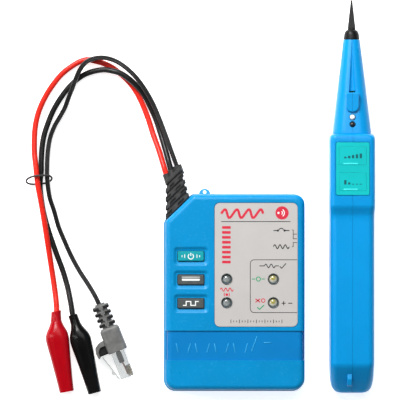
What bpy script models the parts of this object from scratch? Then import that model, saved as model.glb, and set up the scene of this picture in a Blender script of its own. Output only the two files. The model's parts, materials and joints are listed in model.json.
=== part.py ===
"""Tone probe kit: a tone generator with two clip leads and a modular plug, and its tracing probe.

Both units lie on their backs, controls up, on one surface. The origin is on that surface, in the
middle of the toner and the probe, and +Y runs along the probe towards its tip. Lengths in this
file are millimetres, and each helper turns them into metres where it makes a piece.
"""

import math

import bmesh
import bpy
from mathutils import Matrix, Vector

MM = 0.001
GAP = 0.3  # between pieces that touch or nearly touch

# Toner: the case stands on z 0, the parting line is between the two covers.
TONER_LEFT, TONER_RIGHT = -58.85, 20.15
TONER_BOTTOM, TONER_TOP = -109.3, 1.3
TONER_HIGH = 27.0
PARTING_Z = 11.0
WALL = 2.0
CHAMFER_A, CHAMFER_B = (-58.1, -13.3), (-43.0, 1.3)  # two points on the slanting corner wall
BAND_LOW, BAND_HIGH = -91.45, -74.9
LABEL_X, LABEL_Y = (-30.35, 15.85), (-72.6, -3.75)
BUTTON_X, BUTTON_SIZE = -43.6, (14.7, 5.5)
BUTTONS = (("power", -33.4), ("steady_tone", -46.5), ("alternate_tone", -59.7))
LED_X, LED_Y, LED_RADIUS = (-23.6, 2.35), (-46.1, -59.25), 2.5
LED_NAMES = (("upper_left", 0, 0), ("upper_right", 1, 0), ("lower_left", 0, 1), ("lower_right", 1, 1))
SWITCH_Y = -24.6
POSTS = ((-52.3, -102.6), (13.7, -102.6), (13.7, -5.6), (-38.4, -6.2))
BOARD_Z = (20.8, 22.4)
NINE_VOLT = (26.2, 46.0, 17.2)  # width, length without the terminals, thickness
TONER_BATTERY_X, TONER_BATTERY_Y = -19.35, -104.0

# Strain relief on the slanting corner.
RELIEF_Z = 13.0
RELIEF_BASE, RELIEF_END = (-51.15, -6.6), (-53.5, 13.05)
RELIEF_HALF, RELIEF_HALF_END = (9.3, 6.4), (6.1, 4.5)
RELIEF_PLATES = 5

# Leads: each route's own points, start to end, with the height of the centreline.
LEAD_RADIUS = 1.6
LEAD_STEP = 6.5
RED_ROUTE = (
    (-57.2, 11.6, 13.0), (-58.6, 16.0, 12.4), (-61.3, 24.9, 8.4), (-64.9, 34.9, 3.9), (-68.4, 45.6, 1.8),
    (-73.0, 56.3, 1.65), (-78.3, 64.2, 1.65), (-86.2, 71.3, 1.65), (-91.9, 74.6, 1.65), (-97.6, 76.3, 1.65),
    (-101.9, 77.1, 1.65), (-106.2, 76.0, 1.65), (-111.2, 73.1, 1.65), (-116.2, 69.2, 1.65), (-120.5, 64.2, 1.65),
    (-124.8, 57.8, 1.65), (-128.4, 50.6, 1.65), (-130.5, 44.2, 1.7), (-131.6, 37.8, 2.1), (-131.9, 31.4, 2.9),
    (-131.8, 24.3, 4.2), (-131.0, 17.8, 5.8), (-129.9, 7.6, 6.6), (-128.1, -2.6, 6.0), (-126.1, -14.5, 5.2),
    (-124.0, -28.6, 3.9), (-122.0, -41.9, 2.4), (-120.2, -53.8, 3.3), (-119.4, -60.5, 5.2), (-119.2, -64.9, 6.0),
)
BLACK_ROUTE = (
    (-54.5, 13.6, 13.0), (-56.2, 19.9, 11.7), (-58.2, 27.1, 8.4), (-60.8, 35.6, 5.0), (-63.4, 43.5, 3.5),
    (-66.6, 50.6, 3.5), (-70.4, 57.8, 3.95), (-76.2, 64.2, 4.9), (-82.6, 68.9, 5.3), (-88.0, 70.6, 4.6),
    (-93.4, 71.3, 3.1), (-100.5, 69.9, 1.8), (-106.2, 67.1, 1.65), (-111.9, 62.1, 1.65), (-116.9, 55.7, 1.65),
    (-121.2, 48.5, 1.65), (-124.2, 41.4, 1.65), (-126.5, 34.2, 1.7), (-127.6, 27.1, 2.0), (-128.0, 19.0, 2.8),
    (-128.0, 13.8, 3.1), (-128.6, 8.6, 3.1), (-128.5, 3.0, 2.9), (-127.2, -6.6, 2.1), (-124.7, -16.8, 1.65),
    (-122.2, -24.6, 1.65), (-119.1, -33.3, 1.65), (-115.9, -41.9, 1.7), (-113.1, -51.4, 2.6), (-111.2, -60.5, 5.2),
    (-110.2, -66.7, 6.0),
)
MODULAR_ROUTE = (
    (-51.3, 16.3, 13.0), (-54.4, 24.9, 12.4), (-57.8, 34.2, 10.6), (-61.3, 43.5, 8.8), (-65.3, 52.8, 8.2),
    (-70.0, 60.9, 8.5), (-75.2, 67.7, 8.5), (-81.0, 73.0, 7.4), (-86.2, 76.2, 6.4), (-91.2, 77.8, 6.0),
    (-95.5, 78.0, 6.0), (-99.7, 77.1, 6.0), (-103.3, 74.9, 6.0), (-106.2, 71.0, 6.0), (-108.3, 66.4, 5.9),
    (-110.4, 60.7, 5.7), (-112.4, 55.7, 4.6), (-114.6, 50.0, 3.3), (-117.4, 44.9, 2.5), (-120.3, 39.9, 2.4),
    (-122.6, 34.2, 2.4), (-123.8, 28.5, 2.9), (-124.4, 22.1, 3.9), (-124.6, 15.0, 4.8), (-124.5, 9.5, 5.0),
    (-123.2, -0.3, 4.2), (-120.7, -8.2, 3.1), (-118.3, -16.8, 2.5), (-115.1, -24.6, 2.4), (-111.2, -33.3, 2.5),
    (-106.5, -41.9, 3.2), (-101.8, -49.0, 4.5), (-97.6, -55.9, 6.1), (-95.2, -60.9, 6.6),
)
TIE_CENTRE, TIE_REACH, TIE_LEAN, TIE_RADIUS = (-129.1, 9.3, 4.95), (7.2, 4.4), 2.3, 0.55
TIE_STEPS = 28

# Clips: hinge place, tilt of the clip on the surface, sideways shift of the neck, girth.
CLIP_Z = 6.0
CLIP_OPENING = math.radians(16)  # room behind the hinge, a little over the 15 degrees of travel
CLIPS = (
    ("red_clip", (-117.75, -86.1), 10.2, 2.0, 1.0, -24.2, "red vinyl"),
    ("black_clip", (-104.0, -87.2), 15.0, -0.6, 0.92, -24.2, "black vinyl"),
)
# Distance ahead of (-) or behind (+) the hinge, half width, half height of the boot.
BOOT_STATIONS = (
    (17.5, 2.95, 3.1), (15.0, 3.5, 3.9), (12.0, 5.1, 4.9), (9.5, 6.1, 5.5), (6.5, 6.6, 5.7), (3.0, 6.2, 5.6),
    (0.0, 5.6, 5.4), (-6.0, 4.9, 5.1), (-12.0, 4.5, 4.8), (-18.0, 4.25, 4.6),
)
BOOT_WALL = 1.1
NECK_TOP, NECK_RADIUS = 20.8, 2.8
JAW_LINE = ((3.35, 10.0), (3.1, 6.0), (2.45, 2.0), (2.35, -2.0), (2.0, -9.0), (1.35, -14.5))
JAW_TIP = -23.6
TEETH = 6

# Modular plug, lying on its side: junction of boot and clear body, and the tilt.
PLUG_AT, PLUG_TILT, PLUG_Z = (-84.5, -87.3), 21.65, 6.6

# Probe.
PROBE_X, PROBE_MID_Z = 46.35, 16.5
CONE_START, CONE_END = 87.5, 34.9
CONE_HALF, CONE_WIDEN, CONE_DEEPEN = 4.65, 0.1156, 0.185
PROBE_WALL = 1.9
SEAM = 0.15  # each half stops this far from the middle
# Distance along the probe, half width, lowest and highest point, corner radius.
BODY_STATIONS = (
    (34.2, 11.6, 0.8, 32.2, 4.6), (32.8, 12.35, 0.1, 32.9, 3.2), (31.0, 12.5, 0.0, 33.0, 2.5),
    (-5.4, 12.5, 0.0, 33.0, 2.5), (-7.2, 12.45, 0.0, 32.1, 2.8), (-9.6, 12.3, 0.0, 31.0, 3.4),
    (-13.8, 12.2, 0.0, 30.5, 3.6), (-93.4, 12.2, 0.0, 30.5, 3.6), (-96.0, 12.1, 0.0, 29.6, 3.8),
    (-102.0, 11.9, 0.0, 25.2, 4.0), (-106.0, 11.2, 0.0, 21.8, 3.8), (-108.6, 9.8, 0.4, 19.6, 3.2),
    (-110.0, 7.6, 1.5, 18.0, 2.6),
)
KEYPAD_X, KEYPAD_Y = (37.05, 55.65), (0.6, 29.9)
KEYS = (("high", 22.4), ("low", 8.1))
KEY_SIZE = (14.6, 9.6)
LUG_Y, LUG_Z, LUG_HOLE = (-105.9, -98.6), (17.5, 27.6), (-103.2, 25.0, 1.3)
SOUND_SLOTS, SOUND_START, SOUND_STEP = 5, 4.0, 3.0
HOOD_Y = (46.8, 57.7)
PROBE_SCREWS = ((66.0, 16.5), (36.0, 9.0), (-26.0, 13.0))

PARTS = bpy.data.collections.new("tone_probe_kit")
CUTTERS = bpy.data.collections.new("cutters")
MATERIALS = {}


# Helpers

def clear_scene():
    for thing in list(bpy.data.objects):
        bpy.data.objects.remove(thing, do_unlink=True)
    for group in (PARTS, CUTTERS):
        bpy.context.scene.collection.children.link(group)


def material(name, colour, roughness, metallic=0.0):
    made = bpy.data.materials.new(name)
    made.use_nodes = True
    shader = made.node_tree.nodes["Principled BSDF"]
    shader.inputs["Base Color"].default_value = (*colour, 1.0)
    shader.inputs["Roughness"].default_value = roughness
    shader.inputs["Metallic"].default_value = metallic
    MATERIALS[name] = made


def coated(obj, name):
    """Give a piece its material and smooth shading with sharp edges."""
    obj.data.materials.clear()
    obj.data.materials.append(MATERIALS[name])
    if obj.type == "MESH":
        obj.data.shade_smooth()
        obj.data.set_sharp_from_angle(angle=math.radians(35))
    return obj


def solid(name, bm):
    """A new object from a mesh in millimetres, with its faces pointing out."""
    bmesh.ops.recalc_face_normals(bm, faces=bm.faces)
    bmesh.ops.scale(bm, vec=(MM, MM, MM), verts=bm.verts)
    mesh = bpy.data.meshes.new(name)
    bm.to_mesh(mesh)
    bm.free()
    obj = bpy.data.objects.new(name, mesh)
    PARTS.objects.link(obj)
    return obj


def bevelled(obj, width, segments=2, limit="ANGLE"):
    bevel = obj.modifiers.new("Rounding", "BEVEL")
    bevel.width = width * MM
    bevel.segments = segments
    bevel.limit_method = limit
    bevel.angle_limit = math.radians(40)
    return obj


def block(name, low, high, edge=0.0, segments=2):
    bm = bmesh.new()
    bmesh.ops.create_cube(bm, size=1.0)
    low, high = Vector(low), Vector(high)
    bmesh.ops.scale(bm, vec=high - low, verts=bm.verts)
    bmesh.ops.translate(bm, vec=(low + high) / 2, verts=bm.verts)
    made = solid(name, bm)
    return bevelled(made, edge, segments) if edge else made


def pocket(name, middle, size, flare, z_low, z_high):
    """A box that widens by flare on every side towards its top."""
    bm = bmesh.new()
    bmesh.ops.create_cube(bm, size=1.0)
    for vertex in bm.verts:
        wide = flare if vertex.co.z > 0 else 0.0
        vertex.co.x = middle[0] + math.copysign(size[0] / 2 + wide, vertex.co.x)
        vertex.co.y = middle[1] + math.copysign(size[1] / 2 + wide, vertex.co.y)
        vertex.co.z = z_high if vertex.co.z > 0 else z_low
    return solid(name, bm)


def rod(name, start, end, radius, end_radius=None, sides=16):
    """A round bar, or a cone, from one point to another."""
    start, end = Vector(start), Vector(end)
    bm = bmesh.new()
    bmesh.ops.create_cone(
        bm, cap_ends=True, segments=sides, radius1=radius,
        radius2=radius if end_radius is None else end_radius, depth=(end - start).length,
    )
    turn = Vector((0, 0, 1)).rotation_difference(end - start).to_matrix().to_4x4()
    bmesh.ops.transform(bm, matrix=Matrix.Translation((start + end) / 2) @ turn, verts=bm.verts)
    return solid(name, bm)


def turned(name, profile, sides, place, turn=(0.0, 0.0, 0.0)):
    """A profile of radius and height, top first, turned about its own upright axis, then placed."""
    bm = bmesh.new()
    rim = [bm.verts.new((radius, 0.0, height)) for radius, height in profile]
    for above, below in zip(rim, rim[1:]):
        bm.edges.new((above, below))
    bmesh.ops.scale(bm, vec=(MM, MM, MM), verts=bm.verts)
    mesh = bpy.data.meshes.new(name)
    bm.to_mesh(mesh)
    bm.free()
    obj = bpy.data.objects.new(name, mesh)
    PARTS.objects.link(obj)
    screw = obj.modifiers.new("Turning", "SCREW")
    screw.steps = screw.render_steps = sides
    screw.use_merge_vertices = True
    screw.merge_threshold = 0.00001
    obj.location = Vector(place) * MM
    obj.rotation_euler = turn
    return obj


def rounded(corners, steps=4):
    """An outline from corners of x, y and radius, each rounded by an arc."""
    points = []
    for i, (x, y, radius) in enumerate(corners):
        here = Vector((x, y))
        before = (Vector(corners[i - 1][:2]) - here).normalized()
        after = (Vector(corners[(i + 1) % len(corners)][:2]) - here).normalized()
        if radius <= 0:
            points.append((x, y))
            continue
        half = before.angle(after) / 2
        middle = here + (before + after).normalized() * radius / math.sin(half)
        first = here + before * radius / math.tan(half) - middle
        last = here + after * radius / math.tan(half) - middle
        sweep = first.angle_signed(last)
        for k in range(steps + 1):
            points.append(tuple(middle + Matrix.Rotation(-sweep * k / steps, 2) @ first))
    return points


def box_outline(x, y, radius, steps=4):
    return rounded([(x[0], y[0], radius), (x[1], y[0], radius), (x[1], y[1], radius), (x[0], y[1], radius)], steps)


def meshed(guide):
    """The same shape as a welded mesh, in place of a curve."""
    bpy.context.view_layer.update()
    graph = bpy.context.evaluated_depsgraph_get()
    mesh = bpy.data.meshes.new_from_object(guide.evaluated_get(graph))
    bm = bmesh.new()
    bm.from_mesh(mesh)
    bmesh.ops.remove_doubles(bm, verts=bm.verts, dist=0.000001)
    bmesh.ops.dissolve_limit(bm, angle_limit=math.radians(1), verts=bm.verts, edges=bm.edges)
    bmesh.ops.recalc_face_normals(bm, faces=bm.faces)
    bm.to_mesh(mesh)
    bm.free()
    obj = bpy.data.objects.new(guide.name, mesh)
    obj.matrix_world = guide.matrix_world
    name = guide.name
    bpy.data.objects.remove(guide, do_unlink=True)
    obj.name = name
    PARTS.objects.link(obj)
    return obj


def plate(name, outline, z_low, z_high):
    """A flat outline made thick, between two heights."""
    data = bpy.data.curves.new(name, "CURVE")
    data.dimensions = "2D"
    data.fill_mode = "BOTH"
    data.extrude = (z_high - z_low) / 2 * MM
    spline = data.splines.new("POLY")
    spline.points.add(len(outline) - 1)
    for point, (x, y) in zip(spline.points, outline):
        point.co = (x * MM, y * MM, 0.0, 1.0)
    spline.use_cyclic_u = True
    guide = bpy.data.objects.new(name, data)
    guide.location.z = (z_low + z_high) / 2 * MM
    PARTS.objects.link(guide)
    return meshed(guide)


def rim_rounded(obj, up, width, segments=3):
    """Round only the rim of a plate's upper or lower face."""
    bm = bmesh.new()
    bm.from_mesh(obj.data)
    weight = bm.edges.layers.float.new("bevel_weight_edge")
    for edge in bm.edges:
        if any(face.normal.z * up > 0.9 for face in edge.link_faces):
            edge[weight] = 1.0
    bm.to_mesh(obj.data)
    bm.free()
    return bevelled(obj, width, segments, "WEIGHT")


def tube(name, points, radius, closed=False):
    data = bpy.data.curves.new(name, "CURVE")
    data.dimensions = "3D"
    data.bevel_depth = radius * MM
    data.bevel_resolution = 2
    data.use_fill_caps = not closed
    spline = data.splines.new("POLY")
    spline.points.add(len(points) - 1)
    for point, place in zip(spline.points, points):
        point.co = (*(Vector(place) * MM), 1.0)
    spline.use_cyclic_u = closed
    obj = bpy.data.objects.new(name, data)
    PARTS.objects.link(obj)
    return obj


def smooth_route(route, step):
    """Evenly spaced points on a smooth curve through the route's own points."""
    ends = [2 * Vector(route[0]) - Vector(route[1])] + [Vector(p) for p in route]
    ends.append(2 * Vector(route[-1]) - Vector(route[-2]))
    fine = []
    for a, b, c, d in zip(ends, ends[1:], ends[2:], ends[3:]):
        for k in range(12):
            t = k / 12
            fine.append((2 * b + (c - a) * t + (2 * a - 5 * b + 4 * c - d) * t**2 + (3 * (b - c) + d - a) * t**3) / 2)
    fine.append(Vector(route[-1]))
    run = [0.0]
    for here, there in zip(fine, fine[1:]):
        run.append(run[-1] + (there - here).length)
    count = round(run[-1] / step)
    points, at = [], 0
    for i in range(count + 1):
        along = run[-1] * i / count
        while at < len(run) - 2 and run[at + 1] < along:
            at += 1
        share = (along - run[at]) / (run[at + 1] - run[at])
        points.append(fine[at].lerp(fine[at + 1], share))
    return points


def loft(name, rings):
    """A closed solid through rings that have the same number of points."""
    bm = bmesh.new()
    rows = [[bm.verts.new(point) for point in ring] for ring in rings]
    count = len(rows[0])
    for row, following in zip(rows, rows[1:]):
        for i in range(count):
            j = (i + 1) % count
            bm.faces.new((row[i], row[j], following[j], following[i]))
    bm.faces.new(rows[0])
    bm.faces.new(rows[-1])
    bmesh.ops.triangulate(bm, faces=bm.faces)
    return solid(name, bm)


def aside(obj):
    """Keep a shape that only cuts or adds to another one out of the model."""
    PARTS.objects.unlink(obj)
    CUTTERS.objects.link(obj)
    obj.hide_render = True
    obj.display_type = "WIRE"


def combined(target, other, operation):
    boolean = target.modifiers.new(other.name, "BOOLEAN")
    boolean.operation = operation
    boolean.object = other
    if other.name in PARTS.objects:
        aside(other)
    return target


def cut(target, *cutters):
    for cutter in cutters:
        combined(target, cutter, "DIFFERENCE")
    return target


def join(target, *others):
    for other in others:
        combined(target, other, "UNION")
    return target


def screw(name, head_radius, shank_radius, length, place, turn):
    """A pan-head screw, its head's outer face at the origin and its shank along +Z."""
    profile = [(0.0, length), (shank_radius, length - 0.8), (shank_radius, 1.5), (head_radius, 1.5)]
    profile += [(head_radius, 0.5), (head_radius * 0.75, 0.0), (0.0, 0.0)]
    return coated(turned(name, profile, 12, place, turn), "zinc")


def lamp(name, radius, height, place, finish, turn=(0.0, 0.0, 0.0)):
    """A round-headed LED lamp with a flange at its foot."""
    dome = [(radius * math.sin(a), height - radius * (1 - math.cos(a))) for a in
            (math.radians(22.5 * i) for i in range(5))]
    profile = dome + [(radius, 1.0), (radius + 0.4, 1.0), (radius + 0.4, 0.0), (0.0, 0.0)]
    return coated(turned(name, profile, 16, place, turn), finish)


def nine_volt(name, low, upright):
    """A 9 V block battery with its two terminals at the +Y end."""
    wide, long, thick = NINE_VOLT
    size = (thick, long, wide) if upright else (wide, long, thick)
    high = [low[i] + size[i] for i in range(3)]
    body = block(name, low, high, 1.2)
    middle = [(low[i] + high[i]) / 2 for i in range(3)]
    for side in (-1, 1):
        x = middle[0] if upright else middle[0] + side * 6.35
        z = middle[2] + side * 6.35 if upright else middle[2]
        join(body, rod(f"{name}_terminal_{side}", (x, high[1] - 0.5, z), (x, high[1] + 2.2, z), 3.0, sides=12))
    return coated(body, "battery jacket")


# Toner

def toner_outline(left=0.0, right=0.0, bottom=0.0, top=0.0, slant=0.0, shrink=0.0):
    """The case's outline, each side moved in by its own amount, with the corners rounded."""
    left, right = TONER_LEFT + left, TONER_RIGHT - right
    bottom, top = TONER_BOTTOM + bottom, TONER_TOP - top
    along = (Vector(CHAMFER_B) - Vector(CHAMFER_A)).normalized()
    inward = Vector((along.y, -along.x))
    through = Vector(CHAMFER_B) + inward * slant
    upper_x = through.x + along.x * (top - through.y) / along.y
    lower_y = through.y + along.y * (left - through.x) / along.x
    return rounded([
        (left, bottom, 6.5 - shrink), (right, bottom, 7.0 - shrink), (right, top, 6.0 - shrink),
        (upper_x, top, 4.0 - shrink), (left, lower_y, 4.0 - shrink),
    ])


def slant_block(name, half_width, near, far, z):
    """A block square to the slanting corner, from near to far along its outward direction."""
    along = (Vector(CHAMFER_B) - Vector(CHAMFER_A)).normalized()
    made = block(name, (-half_width, near, z[0]), (half_width, far, z[1]))
    made.location = Vector((RELIEF_BASE[0], RELIEF_BASE[1], 0.0)) * MM
    made.rotation_euler = (0.0, 0.0, math.atan2(along.y, along.x))
    return made


def toner_front_cover():
    cover = plate("toner_front_cover", toner_outline(1.1, 0.3, 1.1, 0.3, 0.6, 0.6), PARTING_Z + GAP, TONER_HIGH)
    rim_rounded(cover, 1, 3.1)
    hollow = plate("front_hollow", toner_outline(3.1, 2.3, 3.1, 2.3, 2.6, 2.4), PARTING_Z - 1, TONER_HIGH - WALL)
    cut(cover, rim_rounded(hollow, 1, 1.2, 2))
    band = block("band_slab", (TONER_LEFT - 5, BAND_LOW, 13.0), (TONER_RIGHT + 5, BAND_HIGH, TONER_HIGH + 2))
    kept = plate("band_kept", toner_outline(1.9, 1.1, 1.9, 1.1, 0.6, 1.0), 8.0, TONER_HIGH - 0.7)
    cut(cover, cut(band, rim_rounded(kept, 1, 2.7)))
    for i, (x, y) in enumerate(POSTS):
        post = rod(f"front_post_{i}", (x, y, PARTING_Z + 0.4), (x, y, TONER_HIGH - WALL + 0.6), 3.0)
        join(cover, post)
    for i, (x, y) in enumerate(POSTS):
        cut(cover, rod(f"front_bore_{i}", (x, y, PARTING_Z), (x, y, 20.0), 1.4, sides=12))
    label = [(a - GAP, b + GAP) for a, b in (LABEL_X, LABEL_Y)]
    cut(cover, plate("label_recess", box_outline(*label, 3.1), TONER_HIGH - 0.7, TONER_HIGH + 1))
    for name, y in BUTTONS:
        cut(cover, pocket(f"{name}_pocket", (BUTTON_X + 0.2, y), (17.3, 7.5), 2.0, TONER_HIGH - 1, TONER_HIGH + 1))
        wide, deep = (side / 2 + GAP for side in BUTTON_SIZE)
        cut(cover, block(f"{name}_window", (BUTTON_X - wide, y - deep, 20.0), (BUTTON_X + wide, y + deep, 30.0)))
    for name, i, j in LED_NAMES:
        x, y = LED_X[i], LED_Y[j]
        cut(cover, rod(f"lamp_hole_{name}", (x, y, 20.0), (x, y, 30.0), LED_RADIUS + GAP))
    cut(cover, block("switch_slot", (17.0, SWITCH_Y - 4.3, 17.6), (22.0, SWITCH_Y + 4.3, 20.4)))
    cut(cover, slant_block("front_relief_hole", 4.3, -6.0, 4.0, (8.7, 17.3)))
    return coated(cover, "blue plastic")


def toner_back_cover():
    cover = plate("toner_back_cover", toner_outline(), 0.0, PARTING_Z)
    rim_rounded(cover, -1, 2.0, 2)
    cut(cover, plate("back_hollow", toner_outline(WALL, WALL, WALL, WALL, WALL, 2.0), WALL, PARTING_Z + 1))
    eyelet = plate("lanyard_eyelet", rounded([
        (-39.05, 0.0, 0), (-32.75, 0.0, 0), (-32.75, 4.2, 2.9), (-39.05, 4.2, 2.9)], 5), 4.0, 8.5)
    join(cover, eyelet)
    cut(cover, rod("eyelet_hole", (-35.9, 2.35, 0.0), (-35.9, 2.35, 10.5), 0.95, sides=10))
    for i, (x, y) in enumerate(POSTS):
        join(cover, rod(f"back_post_{i}", (x, y, WALL - 0.6), (x, y, PARTING_Z - 0.2), 3.9))
    for i, (x, y) in enumerate(POSTS):
        cut(cover, rod(f"head_bore_{i}", (x, y, -1.0), (x, y, 2.5), 2.9))
        cut(cover, rod(f"shank_bore_{i}", (x, y, 2.0), (x, y, 12.5), 1.5, sides=12))
    door = [(TONER_BATTERY_X - 15.2, TONER_BOTTOM - 1), (TONER_BATTERY_X + 15.2, -54.0)]
    cut(cover, block("door_opening", (*door[0], -1.0), (*door[1], WALL + 0.2)))
    cut(cover, slant_block("back_relief_hole", 4.3, -6.0, 4.0, (8.7, 17.3)))
    return coated(cover, "blue plastic")


def toner_inside():
    x = TONER_BATTERY_X
    door = block("toner_battery_door", (-14.9, -54.7, 0.0), (14.9, 0.0, 1.7), 0.3, 1)
    door.location = Vector((x, -54.3, GAP)) * MM
    coated(door, "blue plastic")
    wide, _, thick = NINE_VOLT
    nine_volt("toner_battery", (x - wide / 2, TONER_BATTERY_Y, 2.6), False)
    top = TONER_BATTERY_Y + NINE_VOLT[1]
    reach = wide / 2 - 0.5
    snap = block("toner_battery_snap", (x - reach, top + 2.6, 3.2), (x + reach, top + 6.6, 19.2), 0.8)
    coated(snap, "black plastic")
    outline = rounded([(-55.0, -71.5, 1), (16.0, -71.5, 1), (16.0, -11.0, 1), (-42.0, -11.0, 1),
                       (-55.0, -23.5, 1)], 2)
    coated(plate("toner_circuit_board", outline, *BOARD_Z), "circuit board")
    mat = block("toner_keypad_mat", (BUTTON_X - 9, -65.0, 22.7), (BUTTON_X + 9, -28.0, 23.3))
    for name, y in BUTTONS:
        mat = cut(mat, block(f"{name}_notch", (BUTTON_X - 10, y + 4.2, 23.0), (BUTTON_X + 10, y + 4.8, 24.0)))
    coated(mat, "rubber")


def toner_controls():
    coated(plate("toner_label_plate", box_outline(LABEL_X, LABEL_Y, 2.8), 26.6, TONER_HIGH), "label grey")
    plate_obj = PARTS.objects["toner_label_plate"]
    for name, i, j in LED_NAMES:
        x, y = LED_X[i], LED_Y[j]
        cut(plate_obj, rod(f"plate_hole_{name}", (x, y, 25.0), (x, y, 29.0), 3.2))
        finish = "smoky lens" if i == 0 else "clear lens"
        lamp(f"toner_led_{name}", LED_RADIUS, 5.3, (x, y, BOARD_Z[1] + GAP), finish)
    for name, y in BUTTONS:
        wide, deep = (side / 2 for side in BUTTON_SIZE)
        cap = block(f"button_{name}", (-wide, -deep, -2.7), (wide, deep, 0.0), 0.6)
        cap.location = Vector((BUTTON_X, y, TONER_HIGH)) * MM
        coated(cap, "turquoise plastic" if name == "power" else "slate plastic")
    body = block("mode_switch_body", (10.0, SWITCH_Y - 5.2, 16.9), (17.4, SWITCH_Y + 5.2, 20.5))
    cut(body, block("slider_room", (12.5, SWITCH_Y - 4.2, 17.9), (19.0, SWITCH_Y + 4.2, 20.1)))
    coated(body, "zinc")
    slider = block("mode_switch_slider", (-6.5, -1.9, -0.75), (0.0, 1.9, 0.75), 0.3, 1)
    slider.location = Vector((19.4, SWITCH_Y, 19.0)) * MM
    coated(slider, "black plastic")
    for i, (x, y) in enumerate(POSTS):
        screw(f"toner_screw_{i + 1}", 2.5, 1.1, 16.0, (x, y, 0.6), (0.0, 0.0, 0.0))


# Strain relief and leads

def relief_ring(share, shrink):
    """One eight-sided ring of the strain relief, share of the way from its base to its end."""
    along = (Vector(CHAMFER_B) - Vector(CHAMFER_A)).normalized()
    middle = Vector(RELIEF_BASE).lerp(Vector(RELIEF_END), share)
    wide = RELIEF_HALF[0] + (RELIEF_HALF_END[0] - RELIEF_HALF[0]) * share - shrink
    deep = RELIEF_HALF[1] + (RELIEF_HALF_END[1] - RELIEF_HALF[1]) * share - shrink
    corner = 1.6
    ring = []
    for u, v in ((1, -1), (1, 1), (-1, 1), (-1, -1)):
        near, far = (wide * u, (deep - corner) * v), ((wide - corner) * u, deep * v)
        ring += [near, far] if u * v > 0 else [far, near]
    return [(middle.x + along.x * a, middle.y + along.y * a, RELIEF_Z + b) for a, b in ring]


def strain_relief():
    rings = []
    pitch = 1 / (RELIEF_PLATES - 0.35)
    start = 0.035  # clear of the case wall
    for i in range(RELIEF_PLATES):
        low = start + (1 - start) * i * pitch
        high = start + (1 - start) * min(1.0, (i + 0.65) * pitch)
        rings += [relief_ring(low, 0.0), relief_ring(high, 0.0)]
        if i < RELIEF_PLATES - 1:
            rings += [relief_ring(high, 1.7), relief_ring(start + (1 - start) * (i + 1) * pitch, 1.7)]
    relief = loft("strain_relief", rings)
    join(relief, slant_block("relief_neck", 4.0, -4.6, 3.0, (9.0, 17.0)))
    join(relief, slant_block("relief_flange", 6.5, -5.4, -3.6, (7.6, 18.4)))
    coated(relief, "black rubber")


def leads():
    for name, route, finish in (
        ("lead_red", RED_ROUTE, "red vinyl"),
        ("lead_black", BLACK_ROUTE, "black vinyl"),
        ("lead_modular", MODULAR_ROUTE, "black vinyl"),
    ):
        coated(tube(name, smooth_route(route, LEAD_STEP), LEAD_RADIUS), finish)
    loop = []
    for i in range(TIE_STEPS):
        turn = math.tau * i / TIE_STEPS
        c, s = (math.copysign(abs(f(turn)) ** 0.75, f(turn)) for f in (math.cos, math.sin))
        y = TIE_CENTRE[1] + TIE_LEAN * math.sin(turn) + 0.9 * math.cos(turn)
        loop.append((TIE_CENTRE[0] + TIE_REACH[0] * c, y, TIE_CENTRE[2] + TIE_REACH[1] * s))
    coated(tube("cable_tie", loop, TIE_RADIUS, closed=True), "black rubber")


# Clips: made about their hinge, jaws towards -Y, the moving half on the -X side

def boot_arc(half_width, half_height, side, edge, steps=8):
    """Half of a boot's squarish oval, from its upper seam edge round to its lower one."""
    lean = math.asin(min(0.95, edge / half_width))
    points = []
    for i in range(steps + 1):
        turn = math.pi / 2 - lean - (math.pi - 2 * lean) * i / steps
        c, s = math.cos(turn), math.sin(turn)
        reach = (abs(c) ** 3 + abs(s) ** 3) ** (-1 / 3)
        points.append((side * half_width * c * reach, half_height * s * reach))
    return points


def boot_half(name, side, girth, neck_shift, tip, first):
    """An open half shell made thick: it runs from the first station to the tip."""
    bm = bmesh.new()
    rows = []
    stations = [s for s in BOOT_STATIONS if s[0] <= first] + [(tip, 4.1, 4.4)]
    for y, half_width, half_height in stations:
        edge = SEAM + (max(0.0, y) * math.tan(CLIP_OPENING) if side < 0 else 0.0)
        shift = neck_shift * (max(0.0, y - 6.5) / 14.3) ** 1.5
        ring = boot_arc(half_width * girth, half_height, side, edge)
        rows.append([bm.verts.new((x + shift, y, z)) for x, z in ring])
    for row, following in zip(rows, rows[1:]):
        for i in range(len(row) - 1):
            corners = (row[i], row[i + 1], following[i + 1], following[i])
            bm.faces.new(corners if side < 0 else corners[::-1])
    bmesh.ops.scale(bm, vec=(MM, MM, MM), verts=bm.verts)
    mesh = bpy.data.meshes.new(name)
    bm.to_mesh(mesh)
    bm.free()
    obj = bpy.data.objects.new(name, mesh)
    PARTS.objects.link(obj)
    wall = obj.modifiers.new("Wall", "SOLIDIFY")
    wall.thickness = BOOT_WALL * MM
    wall.offset = -1.0
    return obj


def jaw_outline(side):
    """A bent strip seen edge on, with teeth along the inner side of its front end."""
    half = 0.35
    outer = [(x + half, y) for x, y in JAW_LINE] + [(1.25, JAW_TIP)]
    inner = [(x - half, y) for x, y in JAW_LINE]
    length = (JAW_LINE[-1][1] - JAW_TIP) / TEETH
    for i in range(TEETH):
        start = JAW_LINE[-1][1] - length * i
        share = (i + 1) / TEETH
        inner += [(0.85 - 0.15 * share, start - length * 0.35), (0.25, start - length)]
    return [(side * x, y) for x, y in outer + inner[::-1]]


def jaw(name, side, half_height):
    made = plate(name, jaw_outline(side), -half_height, half_height)
    for i, level in enumerate((-1, 1)):
        z = sorted((level * (half_height - 0.05), level * (half_height - 0.6)))
        join(made, rod(f"{name}_ear_{i}", (side * 0.6, 0, z[0]), (side * 0.6, 0, z[1]), 2.2))
    return cut(made, rod(f"{name}_hole", (0, 0, -6), (0, 0, 6), 1.35, sides=12))


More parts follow.
